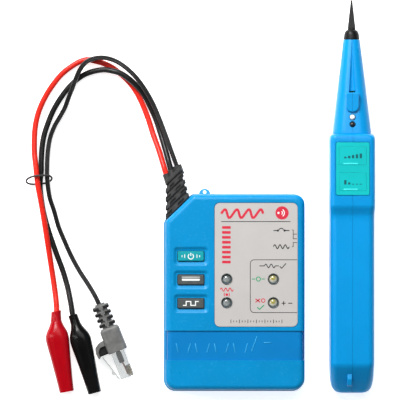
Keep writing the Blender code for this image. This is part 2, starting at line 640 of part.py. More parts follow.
def clip(name, hinge, tilt, neck_shift, girth, tip, finish):
    mount = bpy.data.objects.new(f"{name}_hinge", None)
    PARTS.objects.link(mount)
    mount.location = Vector((*hinge, CLIP_Z)) * MM
    mount.rotation_euler = (0.0, 0.0, math.radians(tilt))
    before = set(bpy.data.objects)
    fixed = boot_half(f"{name}_boot_fixed", 1, girth, neck_shift, tip, 15.0)
    neck_x = neck_shift * ((NECK_TOP - 6.5) / 14.3) ** 1.5
    low_x = neck_shift * 0.42
    join(fixed, rod(f"{name}_neck", (low_x, 14.0, 0), (neck_x, NECK_TOP, 0), 3.0 * girth, NECK_RADIUS * girth))
    coated(fixed, finish)
    coated(boot_half(f"{name}_boot_moving", -1, girth, neck_shift, tip, 9.5), finish)
    coated(jaw(f"{name}_jaw_fixed", 1, 2.6), "zinc")
    coated(jaw(f"{name}_jaw_moving", -1, 1.7), "zinc")
    profile = [(0.0, 3.4), (1.7, 3.4), (1.7, 2.9), (1.0, 2.9), (1.0, -2.9), (1.7, -2.9), (1.7, -3.4), (0.0, -3.4)]
    coated(turned(f"{name}_rivet", profile, 12, (0, 0, 0)), "zinc")
    coil = [(1.75 * math.cos(a), 1.75 * math.sin(a), -0.6 + 1.2 * i / 20) for i, a in
            enumerate(math.tau * k / 10 for k in range(21))]
    coated(tube(f"{name}_spring", coil, 0.14), "zinc")
    for made in set(bpy.data.objects) - before:
        made.parent = mount


# Modular plug: made about the junction of its boot and its clear body, nose towards -Y

def plug_ring(y, wide, deep, corner=1.4):
    ring = []
    for u, v in ((1, -1), (1, 1), (-1, 1), (-1, -1)):
        near, far = (wide * u, (deep - corner) * v), ((wide - corner) * u, deep * v)
        ring += [near, far] if u * v > 0 else [far, near]
    return [(x, y, z) for x, z in ring]


def modular_plug():
    mount = bpy.data.objects.new("plug_place", None)
    PARTS.objects.link(mount)
    mount.location = Vector((*PLUG_AT, PLUG_Z)) * MM
    mount.rotation_euler = (0.0, 0.0, math.radians(PLUG_TILT))
    before = set(bpy.data.objects)
    rings = []
    for i in range(4):
        top = 27.3 - 3.2 * i
        rings += [plug_ring(top, 4.7, 4.7), plug_ring(top - 2.0, 4.75, 4.75)]
        rings += [plug_ring(top - 2.0, 3.3, 3.9), plug_ring(top - 3.2, 3.3, 3.9)]
    rings += [plug_ring(14.5, 4.8, 5.4), plug_ring(13.6, 5.5, 6.1), plug_ring(GAP, 5.5, 6.2)]
    boot = loft("plug_boot", rings)
    ear = plate("plug_ear", rounded([
        (-5.0, 5.6, 0), (-8.6, 5.6, 1.5), (-10.3, 3.6, 1), (-10.6, 0.0, 0), (-11.7, 0.0, 0.4), (-12.0, 3.4, 1),
        (-11.2, 6.6, 2), (-8.2, 8.5, 2), (-5.0, 8.8, 0)], 3), -3.8, 3.8)
    coated(join(boot, ear), "grey boot")
    body = block("plug_body", (-4.2, -15.2, -5.85), (3.4, 0.0, 5.85), 0.4, 1)
    cut(body, block("contact_recess", (0.9, -17.0, -4.9), (5.0, -8.5, 4.9)))
    coated(body, "clear plastic")
    contacts = block("plug_contacts", (1.2, -14.4, -4.5), (2.0, -8.9, 4.5))
    for i in range(8):
        z = -3.57 + 1.02 * i
        join(contacts, block(f"blade_{i}", (1.6, -14.2, z - 0.22), (3.2, -9.2, z + 0.22)))
    coated(contacts, "gold plate")
    latch = plate("plug_latch", [(-0.45, 0.0), (0.45, -0.2), (-3.85, 15.0), (-4.75, 15.0)], -3.1, 3.1)
    latch.location = Vector((-5.0, -14.8, 0.0)) * MM
    coated(latch, "clear plastic")
    for made in set(bpy.data.objects) - before:
        made.parent = mount


# Probe

def probe_ring(y, half_width, z_low, z_high, corner, steps=3):
    """A rounded rectangle across the probe."""
    corner = min(corner, half_width - 0.02, (z_high - z_low) / 2 - 0.02)
    outline = box_outline((PROBE_X - half_width, PROBE_X + half_width), (z_low, z_high), corner, steps)
    return [(x, y, z) for x, z in outline]


def probe_stations(inset=0.0):
    """The probe's cross-sections from nose to tail, smaller all round by the inset."""
    stations = []
    for y in (CONE_START, 74.0, 60.0, 47.0, CONE_END):
        run = CONE_START - y
        wide, deep = CONE_HALF + run * CONE_WIDEN, CONE_HALF + run * CONE_DEEPEN
        stations.append((y, wide, PROBE_MID_Z - deep, PROBE_MID_Z + deep, 4.6 + run * 0.05))
    stations += BODY_STATIONS
    return [(y, w - inset, low + inset, high - inset, max(0.8, r - inset)) for y, w, low, high, r in stations]


def cone_top(y):
    return PROBE_MID_Z + CONE_HALF + (CONE_START - y) * CONE_DEEPEN


def across(x):
    """Distance from the probe's middle to a place on the kit's X axis."""
    return PROBE_X + x


def probe_case():
    whole = loft("probe_whole", [probe_ring(*station) for station in probe_stations()])
    hood = plate("lamp_hood", rounded([
        (across(-3.65), HOOD_Y[1], 1.0), (across(-3.65), HOOD_Y[0], 3.3), (across(3.65), HOOD_Y[0], 3.3),
        (across(3.65), HOOD_Y[1], 1.0)], 4), 22.0, 30.2)
    join(whole, rim_rounded(hood, 1, 0.8, 2))
    inner = [station for station in probe_stations(PROBE_WALL) if -106.5 < station[0] < 84.0]
    inner.append((-107.6, 8.6, 2.6, 17.6, 1.0))
    cut(whole, loft("probe_hollow", [probe_ring(*station) for station in inner]))
    for i, (y, z) in enumerate(PROBE_SCREWS):
        reach = 5.6 if y > 60 else 10.6 if y < 30 else 8.9
        join(whole, rod(f"probe_post_{i}", (across(-reach), y, z), (across(reach), y, z), 2.8))
    for i, (y, z) in enumerate(PROBE_SCREWS):
        edge = probe_edge(y)
        cut(whole, rod(f"probe_bore_{i}", (across(1.5 - edge), y, z), (across(20), y, z), 1.4, sides=12))
        cut(whole, rod(f"probe_head_bore_{i}", (across(edge - 1.5), y, z), (across(22), y, z), 2.7))
    cut(whole, rod("nose_bore", (PROBE_X, 78.0, PROBE_MID_Z), (PROBE_X, 90.0, PROBE_MID_Z), 2.9))
    far, near = (PROBE_X, 86.0, cone_top(86.0)), (PROBE_X, HOOD_Y[1] - 0.4, cone_top(HOOD_Y[1]) + 0.3)
    cut(whole, rod("light_groove", near, far, 1.75, 0.1))
    slope = Vector((0.0, 1.0, -CONE_DEEPEN)).normalized()
    back = Vector((PROBE_X, 49.6, cone_top(49.6) - 0.6))
    cut(whole, rod("lamp_bore", back, back + slope * 9.5, 1.9))
    for name, y in (("power", 43.9), ("signal", 40.0)):
        cut(whole, rod(f"probe_{name}_hole", (PROBE_X, y, 22.5), (PROBE_X, y, 40.0), 1.9, sides=12))
    recess = [(a - GAP, b + GAP) for a, b in (KEYPAD_X, KEYPAD_Y)]
    cut(whole, plate("keypad_recess", box_outline(*recess, 1.2), 32.3, 36.0))
    for name, y in KEYS:
        wide, deep = (side / 2 + GAP for side in KEY_SIZE)
        cut(whole, block(f"{name}_key_window", (across(-wide), y - deep, 29.0), (across(wide), y + deep, 36.0)))
    for i in range(SOUND_SLOTS):
        y = SOUND_START + SOUND_STEP * i
        cut(whole, block(f"sound_slot_{i}", (across(-6.0), y - 0.6, -1.0), (across(6.0), y + 0.6, 2.6)))
    cut(whole, block("probe_door_opening", (across(-9.3), -112.0, -1.0), (across(9.3), -38.0, 2.1)))
    for name, low, high in (("left", -30.0, -SEAM), ("right", SEAM, 30.0)):
        half = block(f"probe_case_{name}", (across(low), -115.0, -3.0), (across(high), 92.0, 38.0))
        combined(half, whole, "INTERSECT")
        if name == "left":
            lug = block("lanyard_lug", (across(-2.75), LUG_Y[0], LUG_Z[0]), (across(-SEAM), LUG_Y[1], LUG_Z[1]), 0.8)
            y, z, radius = LUG_HOLE
            cut(lug, rod("lug_hole", (across(-4.0), y, z), (across(1.0), y, z), radius, sides=12))
            join(half, lug)
        coated(half, "blue plastic")


def probe_edge(y):
    """Half the probe's width at a place along it."""
    if y > CONE_END:
        return CONE_HALF + (CONE_START - y) * CONE_WIDEN
    return 12.5 if y > -6 else 12.2


def probe_front_end():
    lay = (-math.pi / 2, 0.0, 0.0)  # turns a piece's upright axis onto +Y
    tip = [(0.0, 110.0), (0.45, 109.4), (2.25, 93.4), (1.5, 93.4), (1.5, 85.0), (2.6, 85.0), (2.6, 83.0),
           (0.0, 83.0)]
    coated(turned("probe_tip", tip, 20, (PROBE_X, 0, PROBE_MID_Z), lay), "black plastic")
    collar = [(1.8, 93.0), (3.2, 92.9), (4.05, 91.4), (4.55, 88.0), (4.2, 87.8), (2.6, 87.8), (2.6, 85.4),
              (1.8, 85.4)]
    collar.append(collar[0])
    coated(turned("probe_collar", collar, 20, (PROBE_X, 0, PROBE_MID_Z), lay), "black plastic")


def probe_controls():
    overlay = plate("probe_keypad_overlay", box_outline(KEYPAD_X, KEYPAD_Y, 1.0), 32.6, 33.1)
    for name, y in KEYS:
        wide, deep = (side / 2 for side in KEY_SIZE)
        cut(overlay, block(f"{name}_overlay_window", (across(-wide - GAP), y - deep - GAP, 30.0),
                           (across(wide + GAP), y + deep + GAP, 36.0)))
        key = block(f"probe_key_{name}", (-wide, -deep, -8.8), (wide, deep, 0.0), 0.3, 1)
        key.location = Vector((PROBE_X, y, 33.3)) * MM
        coated(key, "turquoise plastic")
    coated(overlay, "turquoise plastic")
    lean = math.atan(CONE_DEEPEN)
    place = (PROBE_X, 50.2, cone_top(50.2) - 0.6)
    lamp("probe_lamp_led", 1.5, 6.4, place, "clear lens", (-math.pi / 2 - lean, 0, 0))
    lamp("probe_power_led", 1.5, 6.3, (PROBE_X, 43.9, 23.9), "white lens")
    lamp("probe_signal_led", 1.5, 7.0, (PROBE_X, 40.0, 23.9), "smoky lens")


def probe_inside():
    outline = [(across(-8.0), -4.0), (across(8.0), -4.0), (across(8.0), 30.0), (across(3.4), 60.0),
               (across(-3.4), 60.0), (across(-8.0), 30.0)]
    coated(plate("probe_circuit_board", outline, 22.0, 23.6), "circuit board")
    cone = [(0.0, 7.0), (4.5, 7.0), (9.0, 4.4), (9.0, 2.9), (0.0, 2.9)]
    coated(turned("probe_speaker", cone, 24, (PROBE_X, 10.0, 0)), "black plastic")
    wide, long, thick = NINE_VOLT
    start = -91.0
    nine_volt("probe_battery", (across(-thick / 2), start, 2.0), True)
    top = start + long
    snap = block("probe_battery_snap", (across(-8.0), top + 2.6, 2.6), (across(8.0), top + 6.6, 27.4), 0.8)
    coated(snap, "black plastic")
    door = block("probe_battery_door", (-9.0, -70.7, 0.0), (9.0, 0.0, 1.4), 0.3, 1)
    door.location = Vector((PROBE_X, -38.3, GAP)) * MM
    coated(door, "blue plastic")
    for i, (y, z) in enumerate(PROBE_SCREWS):
        edge = probe_edge(y)
        length = 2 * edge - 4.0
        screw(f"probe_screw_{i + 1}", 2.4, 1.1, length, (across(edge + 0.3), y, z), (0.0, -math.pi / 2, 0.0))


def main():
    clear_scene()
    material("blue plastic", (0.004, 0.32, 0.68), 0.38)
    material("label grey", (0.60, 0.59, 0.57), 0.55)
    material("turquoise plastic", (0.005, 0.50, 0.45), 0.4)
    material("slate plastic", (0.06, 0.10, 0.12), 0.45)
    material("black plastic", (0.02, 0.02, 0.02), 0.4)
    material("black rubber", (0.025, 0.025, 0.025), 0.6)
    material("black vinyl", (0.01, 0.01, 0.01), 0.35)
    material("red vinyl", (0.6, 0.01, 0.01), 0.35)
    material("grey boot", (0.08, 0.08, 0.08), 0.6)
    material("rubber", (0.3, 0.3, 0.3), 0.7)
    material("smoky lens", (0.2, 0.22, 0.22), 0.15)
    material("clear lens", (0.7, 0.68, 0.55), 0.1)
    material("white lens", (0.85, 0.88, 0.85), 0.25)
    material("clear plastic", (0.75, 0.77, 0.76), 0.1)
    material("gold plate", (0.8, 0.55, 0.2), 0.25, 1.0)
    material("zinc", (0.7, 0.7, 0.7), 0.3, 1.0)
    material("battery jacket", (0.05, 0.05, 0.06), 0.35)
    material("circuit board", (0.02, 0.18, 0.06), 0.5)
    toner_front_cover()
    toner_back_cover()
    toner_inside()
    toner_controls()
    strain_relief()
    leads()
    for values in CLIPS:
        clip(*values)
    modular_plug()
    probe_case()
    probe_front_end()
    probe_controls()
    probe_inside()


main()
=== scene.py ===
"""Looks of the tone probe kit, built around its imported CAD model.

Shapes are written in millimetres, in the CAD model's frame, and turned into metres where a mesh is
made. Both units lie on their backs, controls up, and the camera looks straight down on them.
"""

import json
import math
import random

import bmesh
import bpy
from mathutils import Matrix, Vector

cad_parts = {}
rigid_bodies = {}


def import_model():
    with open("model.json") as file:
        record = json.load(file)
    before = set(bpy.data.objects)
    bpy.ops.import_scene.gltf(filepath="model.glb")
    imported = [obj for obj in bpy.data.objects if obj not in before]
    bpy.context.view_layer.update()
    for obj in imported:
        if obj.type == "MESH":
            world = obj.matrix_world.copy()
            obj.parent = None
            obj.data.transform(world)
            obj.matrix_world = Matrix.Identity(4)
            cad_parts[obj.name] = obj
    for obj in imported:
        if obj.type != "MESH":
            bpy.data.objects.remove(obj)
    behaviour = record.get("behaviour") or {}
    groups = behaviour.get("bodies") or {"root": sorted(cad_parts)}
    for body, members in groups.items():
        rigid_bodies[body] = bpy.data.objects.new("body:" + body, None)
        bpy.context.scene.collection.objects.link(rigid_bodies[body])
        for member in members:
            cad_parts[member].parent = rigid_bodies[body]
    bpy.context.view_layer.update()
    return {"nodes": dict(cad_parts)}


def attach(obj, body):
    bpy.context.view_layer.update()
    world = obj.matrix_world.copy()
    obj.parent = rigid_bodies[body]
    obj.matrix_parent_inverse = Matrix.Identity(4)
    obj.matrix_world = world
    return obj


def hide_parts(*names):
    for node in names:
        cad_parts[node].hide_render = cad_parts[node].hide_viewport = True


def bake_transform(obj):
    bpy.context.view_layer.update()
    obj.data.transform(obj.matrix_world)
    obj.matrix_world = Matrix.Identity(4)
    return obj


for thing in list(bpy.data.objects):
    bpy.data.objects.remove(thing, do_unlink=True)

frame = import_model()
NODES = frame["nodes"]
SCENE = bpy.context.scene
MM = 0.001
SCENE.view_settings.view_transform = "Standard"


# Camera, floor and light

def camera():
    data = bpy.data.cameras.new("camera")
    data.sensor_width = 36.0
    high = 2.0
    wide = 0.224
    data.lens = 36.0 * high / wide
    data.clip_end = 20.0
    obj = bpy.data.objects.new("camera", data)
    obj.location = (-0.0385, -0.0021, high + 0.016)
    SCENE.collection.objects.link(obj)
    SCENE.camera = obj


def area_light(name, place, aim, size, power, colour=(1.0, 1.0, 1.0)):
    data = bpy.data.lights.new(name, "AREA")
    data.shape = "RECTANGLE"
    data.size, data.size_y = size
    data.energy = power
    data.color = colour
    obj = bpy.data.objects.new(name, data)
    obj.location = place
    obj.rotation_euler = (Vector(aim) - Vector(place)).to_track_quat("-Z", "Y").to_euler()
    SCENE.collection.objects.link(obj)


def surroundings():
    world = bpy.data.worlds.new("studio")
    SCENE.world = world
    world.use_nodes = True
    tree = world.node_tree
    back = tree.nodes["Background"]
    back.inputs["Strength"].default_value = 1.0
    place = tree.nodes.new("ShaderNodeTexCoord")
    split = tree.nodes.new("ShaderNodeSeparateXYZ")
    tree.links.new(place.outputs["Generated"], split.inputs["Vector"])
    ramp = tree.nodes.new("ShaderNodeValToRGB")
    elements = ramp.color_ramp.elements
    elements[0].position, elements[0].color = 0.0, (0.13, 0.13, 0.13, 1.0)
    elements[1].position, elements[1].color = 1.0, (0.06, 0.06, 0.06, 1.0)
    for position, level in ((0.55, 0.13), (0.86, 0.3), (0.95, 0.1)):
        elements.new(position).color = (level, level, level, 1.0)
    tree.links.new(split.outputs["Z"], ramp.inputs["Fac"])
    tree.links.new(ramp.outputs["Color"], back.inputs["Color"])
    area_light("key", (-0.4, 0.85, 0.85), (-0.03, 0.0, 0.0), (0.5, 0.5), 20.0)
    area_light("fill", (0.1, 0.5, 1.1), (-0.03, 0.0, 0.0), (0.7, 0.7), 3.8)
    area_light("strip", (-0.8, 0.1, 0.62), (-0.03, 0.0, 0.0), (0.05, 1.2), 2.4)
    bm = bmesh.new()
    bmesh.ops.create_grid(bm, x_segments=1, y_segments=1, size=4.0)
    mesh = bpy.data.meshes.new("floor")
    bm.to_mesh(mesh)
    bm.free()
    floor = bpy.data.objects.new("floor", mesh)
    floor.location.z = -0.0002
    SCENE.collection.objects.link(floor)
    floor.data.materials.append(FINISH["floor"])
    glow = FINISH["floor"].node_tree.nodes["Principled BSDF"]
    glow.inputs["Emission Color"].default_value = (1.0, 1.0, 1.0, 1.0)
    glow.inputs["Emission Strength"].default_value = 0.75


# Materials

FINISH = {}


def finish(name, colour, rough, mottle=0.05, mottle_size=18.0, grain=0.0, grain_size=0.5, metallic=0.0,
           coat=0.0,
           clear=0.0, soft=0.0, specular=0.22, ior=1.48, painted_glints=0.0):
    """A material with uneven colour, uneven gloss and a fine moulded or worn grain; sizes in mm."""
    made = bpy.data.materials.new(name)
    made.use_nodes = True
    tree = made.node_tree
    shader = tree.nodes["Principled BSDF"]
    place = tree.nodes.new("ShaderNodeTexCoord")

    def noise(size, detail, rough_share=0.55):
        node = tree.nodes.new("ShaderNodeTexNoise")
        node.inputs["Scale"].default_value = 1000.0 / size
        node.inputs["Detail"].default_value = detail
        node.inputs["Roughness"].default_value = rough_share
        tree.links.new(place.outputs["Object"], node.inputs["Vector"])
        return node.outputs["Fac"]

    ramp = tree.nodes.new("ShaderNodeValToRGB")
    ramp.color_ramp.elements[0].position = 0.3
    ramp.color_ramp.elements[1].position = 0.7
    ramp.color_ramp.elements[0].color = (*[c * (1 - mottle) for c in colour], 1.0)
    ramp.color_ramp.elements[1].color = (*[min(1.0, c * (1 + mottle)) for c in colour], 1.0)
    tree.links.new(noise(mottle_size, 3.0), ramp.inputs["Fac"])
    tree.links.new(ramp.outputs["Color"], shader.inputs["Base Color"])
    # Painted glints: pale cyan spots added to the base colour stand in for light sparkling on the moulded grain.
    if painted_glints:
        glint_spots = tree.nodes.new("ShaderNodeValToRGB")
        glint_spots.color_ramp.elements[0].position = 0.58
        glint_spots.color_ramp.elements[1].position = 0.72
        glint_spots.color_ramp.elements[0].color = (0.0, 0.0, 0.0, 1.0)
        glint_spots.color_ramp.elements[1].color = (painted_glints, painted_glints, painted_glints, 1.0)
        tree.links.new(noise(1.3, 2.0), glint_spots.inputs["Fac"])
        mix = tree.nodes.new("ShaderNodeMix")
        mix.data_type = "RGBA"
        mix.blend_type = "ADD"
        mix.inputs["Factor"].default_value = 1.0
        tree.links.new(ramp.outputs["Color"], mix.inputs["A"])
        tint = tree.nodes.new("ShaderNodeMix")
        tint.data_type = "RGBA"
        tint.blend_type = "MULTIPLY"
        tint.inputs["Factor"].default_value = 1.0
        tint.inputs["B"].default_value = (0.3, 0.9, 1.0, 1.0)
        tree.links.new(glint_spots.outputs["Color"], tint.inputs["A"])
        tree.links.new(tint.outputs["Result"], mix.inputs["B"])
        tree.links.new(mix.outputs["Result"], shader.inputs["Base Color"])
    spread = tree.nodes.new("ShaderNodeMapRange")
    spread.inputs["To Min"].default_value = max(0.02, rough - 0.06)
    spread.inputs["To Max"].default_value = min(1.0, rough + 0.06)
    tree.links.new(noise(6.0, 4.0), spread.inputs["Value"])
    tree.links.new(spread.outputs["Result"], shader.inputs["Roughness"])
    if grain:
        bump = tree.nodes.new("ShaderNodeBump")
        bump.inputs["Strength"].default_value = 1.0
        bump.inputs["Distance"].default_value = grain * MM
        tree.links.new(noise(grain_size, 2.0), bump.inputs["Height"])
        tree.links.new(bump.outputs["Normal"], shader.inputs["Normal"])
    shader.inputs["Metallic"].default_value = metallic
    shader.inputs["Coat Weight"].default_value = coat
    shader.inputs["Coat Roughness"].default_value = 0.12
    shader.inputs["Transmission Weight"].default_value = clear
    shader.inputs["IOR"].default_value = ior
    shader.inputs["Specular IOR Level"].default_value = specular
    shader.inputs["Subsurface Weight"].default_value = soft
    shader.inputs["Subsurface Scale"].default_value = 1.5 * MM
    FINISH[name] = made


def finishes():
    finish("floor", (0.93, 0.93, 0.93), 0.9, mottle=0.004, mottle_size=80.0, specular=0.1)
    # The toner blue carries painted glints for the sparkle of its grain.
    finish("toner_blue", (0.001, 0.245, 0.54), 0.3, mottle=0.05, mottle_size=22.0, grain=0.012,
           grain_size=0.55,
           painted_glints=0.035)
    # Darker copy of the toner blue for the sunk band: painted shade, with a little less gloss.
    finish("toner_band_painted_shade_blue", (0.001, 0.19, 0.50), 0.34, mottle=0.04, mottle_size=20.0, grain=0.01,
           grain_size=0.6)
    # Paler copy of the blue for the band's low ridges: painted highlight where raised lettering catches the light.
    finish("band_rib_painted_highlight_blue", (0.03, 0.34, 0.66), 0.3, mottle=0.1, mottle_size=3.0)
    # Paler blue for the lower shell and its door: painted reflection of the glossy strip along the case's side.
    finish("toner_lower_painted_reflection_blue", (0.05, 0.33, 0.60), 0.34, mottle=0.05, mottle_size=20.0, grain=0.01,
           grain_size=0.6)
    finish("probe_blue", (0.001, 0.28, 0.66), 0.3, mottle=0.05, mottle_size=30.0, grain=0.008, grain_size=0.7)
    finish("label", (0.50, 0.48, 0.465), 0.5, mottle=0.02, mottle_size=10.0, grain=0.004, grain_size=0.3)
    finish("print_red", (0.62, 0.03, 0.06), 0.5, mottle=0.12, mottle_size=0.8)
    finish("print_dark", (0.035, 0.035, 0.035), 0.5, mottle=0.15, mottle_size=0.8)
    finish("print_green", (0.02, 0.33, 0.14), 0.5, mottle=0.12, mottle_size=0.8)
    finish("print_white", (0.85, 0.88, 0.86), 0.5, mottle=0.06, mottle_size=0.8)
    finish("print_teal", (0.005, 0.10, 0.12), 0.5, mottle=0.12, mottle_size=0.8)
    finish("key_green", (0.004, 0.31, 0.36), 0.42, mottle=0.06, mottle_size=5.0, grain=0.01, grain_size=0.35)
    finish("key_slate", (0.075, 0.085, 0.085), 0.42, mottle=0.12, mottle_size=4.0, grain=0.01,
           grain_size=0.35)
    finish("overlay_turquoise", (0.002, 0.47, 0.48), 0.36, mottle=0.05, mottle_size=12.0, grain=0.006,
           grain_size=0.4)
    # Brighter copy of the overlay turquoise: painted highlight on the raised lower edge of each key.
    finish("overlay_painted_highlight", (0.06, 0.78, 0.78), 0.3, mottle=0.05, mottle_size=4.0)
    finish("black_plastic", (0.006, 0.006, 0.006), 0.36, mottle=0.2, mottle_size=5.0, grain=0.01,
           grain_size=0.5)
    finish("tip_black", (0.012, 0.012, 0.012), 0.3, mottle=0.2, mottle_size=3.0, grain=0.006, grain_size=0.4)
    finish("relief_rubber", (0.035, 0.035, 0.035), 0.5, mottle=0.25, mottle_size=3.0, grain=0.03,
           grain_size=0.6)
    finish("black_vinyl", (0.012, 0.012, 0.012), 0.26, mottle=0.25, mottle_size=8.0, grain=0.01,
           grain_size=1.2)
    finish("red_vinyl", (0.72, 0.022, 0.012), 0.26, mottle=0.08, mottle_size=8.0, grain=0.01, grain_size=1.2)
    finish("red_boot", (0.38, 0.001, 0.006), 0.24, mottle=0.07, mottle_size=10.0, grain=0.01, grain_size=1.5)
    finish("black_boot", (0.004, 0.004, 0.004), 0.2, mottle=0.3, mottle_size=10.0, grain=0.01, grain_size=1.5)
    finish("plug_boot_grey", (0.15, 0.15, 0.145), 0.42, mottle=0.22, mottle_size=3.5, grain=0.02,
           grain_size=0.5)
    finish("plug_boot_black", (0.012, 0.012, 0.012), 0.4, mottle=0.25, mottle_size=3.0, grain=0.02,
           grain_size=0.5)
    finish("keypad_rubber", (0.28, 0.28, 0.28), 0.6, mottle=0.08, mottle_size=5.0, grain=0.02, grain_size=0.6)
    finish("led_clear", (0.78, 0.76, 0.62), 0.08, mottle=0.1, mottle_size=1.2, clear=0.65, coat=0.5)
    finish("led_white", (0.9, 0.92, 0.92), 0.15, mottle=0.04, mottle_size=1.0, coat=0.6, soft=0.2)
    finish("led_dark", (0.01, 0.01, 0.012), 0.08, mottle=0.2, mottle_size=1.0, coat=0.8)
    finish("clear_plastic", (0.72, 0.74, 0.74), 0.06, mottle=0.02, mottle_size=2.0, clear=0.86, ior=1.49)
    finish("gold", (0.90, 0.62, 0.24), 0.22, mottle=0.08, mottle_size=0.8, metallic=1.0)
    finish("steel", (0.70, 0.70, 0.69), 0.26, mottle=0.1, mottle_size=2.0, grain=0.006, grain_size=0.3,
           metallic=1.0)
    finish("battery_jacket", (0.03, 0.03, 0.035), 0.3, mottle=0.1, mottle_size=8.0)
    finish("circuit_board", (0.015, 0.16, 0.05), 0.4, mottle=0.15, mottle_size=1.5)
    # Lamp domes with painted light and shade across the lens in place of real refraction.
    lamp_finish("lamp_smoky_painted_light", (0.55, 0.6, 0.58), (0.2, 0.22, 0.22), (0.05, 0.06, 0.06))
    lamp_finish("lamp_clear_painted_light", (0.85, 0.84, 0.74), (0.5, 0.48, 0.36), (0.12, 0.12, 0.1), (0.3, 0.26, 0.03))
    finish("lamp_rim", (0.10, 0.115, 0.11), 0.25, mottle=0.1, mottle_size=1.0, coat=0.3)
    finish("wire_white", (0.8, 0.8, 0.78), 0.4, mottle=0.05, mottle_size=1.0)
    finish("wire_orange", (0.75, 0.3, 0.05), 0.4, mottle=0.05, mottle_size=1.0)
    finish("wire_brown", (0.2, 0.08, 0.03), 0.4, mottle=0.05, mottle_size=1.0)
    finish("wire_blue", (0.03, 0.1, 0.5), 0.4, mottle=0.05, mottle_size=1.0)


# Mesh helpers

def linked(name, mesh):
    obj = bpy.data.objects.new(name, mesh)
    SCENE.collection.objects.link(obj)
    return obj


def solid(name, bm):
    """An object from a mesh in millimetres, with its faces pointing out."""
    bmesh.ops.recalc_face_normals(bm, faces=bm.faces)
    bmesh.ops.scale(bm, vec=(MM, MM, MM), verts=bm.verts)
    mesh = bpy.data.meshes.new(name)
    bm.to_mesh(mesh)
    bm.free()
    return linked(name, mesh)


def applied(obj):
    """The same object with its modifiers made part of its mesh."""
    bpy.context.view_layer.update()
    graph = bpy.context.evaluated_depsgraph_get()
    mesh = bpy.data.meshes.new_from_object(obj.evaluated_get(graph))
    if obj.type == "MESH":
        obj.modifiers.clear()
        obj.data = mesh
        return obj
    name = obj.name
    bpy.data.objects.remove(obj, do_unlink=True)
    return linked(name, mesh)


def bevelled(obj, width, segments=4, limit="ANGLE", angle=35):
    bevel = obj.modifiers.new("Rounding", "BEVEL")
    bevel.width = width * MM
    bevel.segments = segments
    bevel.limit_method = limit
    bevel.angle_limit = math.radians(angle)
    bevel.use_clamp_overlap = True
    return applied(obj)


def finished(obj, body, look, replaces=(), angle=35, weighted=True):
    """Give a piece its material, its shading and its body."""
    obj.data.materials.clear()
    obj.data.materials.append(FINISH[look])
    if obj.type == "MESH":
        obj.data.shade_smooth()
        obj.data.set_sharp_from_angle(angle=math.radians(angle))
        if weighted:
            even = obj.modifiers.new("Even shading", "WEIGHTED_NORMAL")
            even.keep_sharp = True
            even.weight = 60
    if body:
        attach(obj, body)
    if replaces:
        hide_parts(*replaces)
    return obj


def dressed(look, *names, edge=0.0):
    """Give CAD pieces a better material and softer edges."""
    for name in names:
        obj = NODES[name]
        obj.data.materials.clear()
        obj.data.materials.append(FINISH[look])
        if edge:
            bevel = obj.modifiers.new("Rounding", "BEVEL")
            bevel.width = edge * MM
            bevel.segments = 2
            bevel.limit_method = "ANGLE"
            bevel.angle_limit = math.radians(40)
        smooth = obj.modifiers.new("Even shading", "WEIGHTED_NORMAL")
        smooth.keep_sharp = True


def block(name, low, high, edge=0.0, segments=4):
    bm = bmesh.new()
    bmesh.ops.create_cube(bm, size=1.0)
    low, high = Vector(low), Vector(high)
    bmesh.ops.scale(bm, vec=high - low, verts=bm.verts)
    bmesh.ops.translate(bm, vec=(low + high) / 2, verts=bm.verts)
    made = solid(name, bm)
    return bevelled(made, edge, segments) if edge else made


def rod(name, start, end, radius, end_radius=None, sides=48):
    start, end = Vector(start), Vector(end)
    bm = bmesh.new()
    bmesh.ops.create_cone(
        bm, cap_ends=True, segments=sides, radius1=radius,
        radius2=radius if end_radius is None else end_radius, depth=(end - start).length,
    )
    turn = Vector((0, 0, 1)).rotation_difference(end - start).to_matrix().to_4x4()
    bmesh.ops.transform(bm, matrix=Matrix.Translation((start + end) / 2) @ turn, verts=bm.verts)
    return solid(name, bm)


def turned(name, profile, sides, matrix=Matrix.Identity(4)):
    """A profile of radius and height turned about its upright axis, then placed; ends on the axis are closed."""
    bm = bmesh.new()
    rows = []
    for radius, height in profile:
        if radius < 1e-6:
            rows.append([bm.verts.new((0.0, 0.0, height))])
        else:
            rows.append([bm.verts.new((radius * math.cos(math.tau * k / sides),
                                       radius * math.sin(math.tau * k / sides),
                                       height)) for k in range(sides)])
    pairs = list(zip(rows, rows[1:]))
    if len(rows[0]) > 1:
        pairs.append((rows[-1], rows[0]))
    for above, below in pairs:
        for k in range(sides):
            j = (k + 1) % sides
            corners = [above[k % len(above)], above[j % len(above)], below[j % len(below)],
                       below[k % len(below)]]
            corners = list(dict.fromkeys(corners))
            if len(corners) > 2:
                bm.faces.new(corners)
    bmesh.ops.transform(bm, matrix=matrix, verts=bm.verts)
    return solid(name, bm)


def rounded(corners, steps=10):
    """An outline from corners of x, y and radius, each rounded by an arc."""
    points = []
    for i, (x, y, radius) in enumerate(corners):
        here = Vector((x, y))
        before = (Vector(corners[i - 1][:2]) - here).normalized()
        after = (Vector(corners[(i + 1) % len(corners)][:2]) - here).normalized()
        if radius <= 0:
            points.append((x, y))
            continue
        half = before.angle(after) / 2
        middle = here + (before + after).normalized() * radius / math.sin(half)
        first = here + before * radius / math.tan(half) - middle
        last = here + after * radius / math.tan(half) - middle
        sweep = first.angle_signed(last)
        for k in range(steps + 1):
            points.append(tuple(middle + Matrix.Rotation(-sweep * k / steps, 2) @ first))
    return points


def box_outline(x, y, radius, steps=8):
    return rounded([(x[0], y[0], radius), (x[1], y[0], radius), (x[1], y[1], radius), (x[0], y[1], radius)],
                   steps)


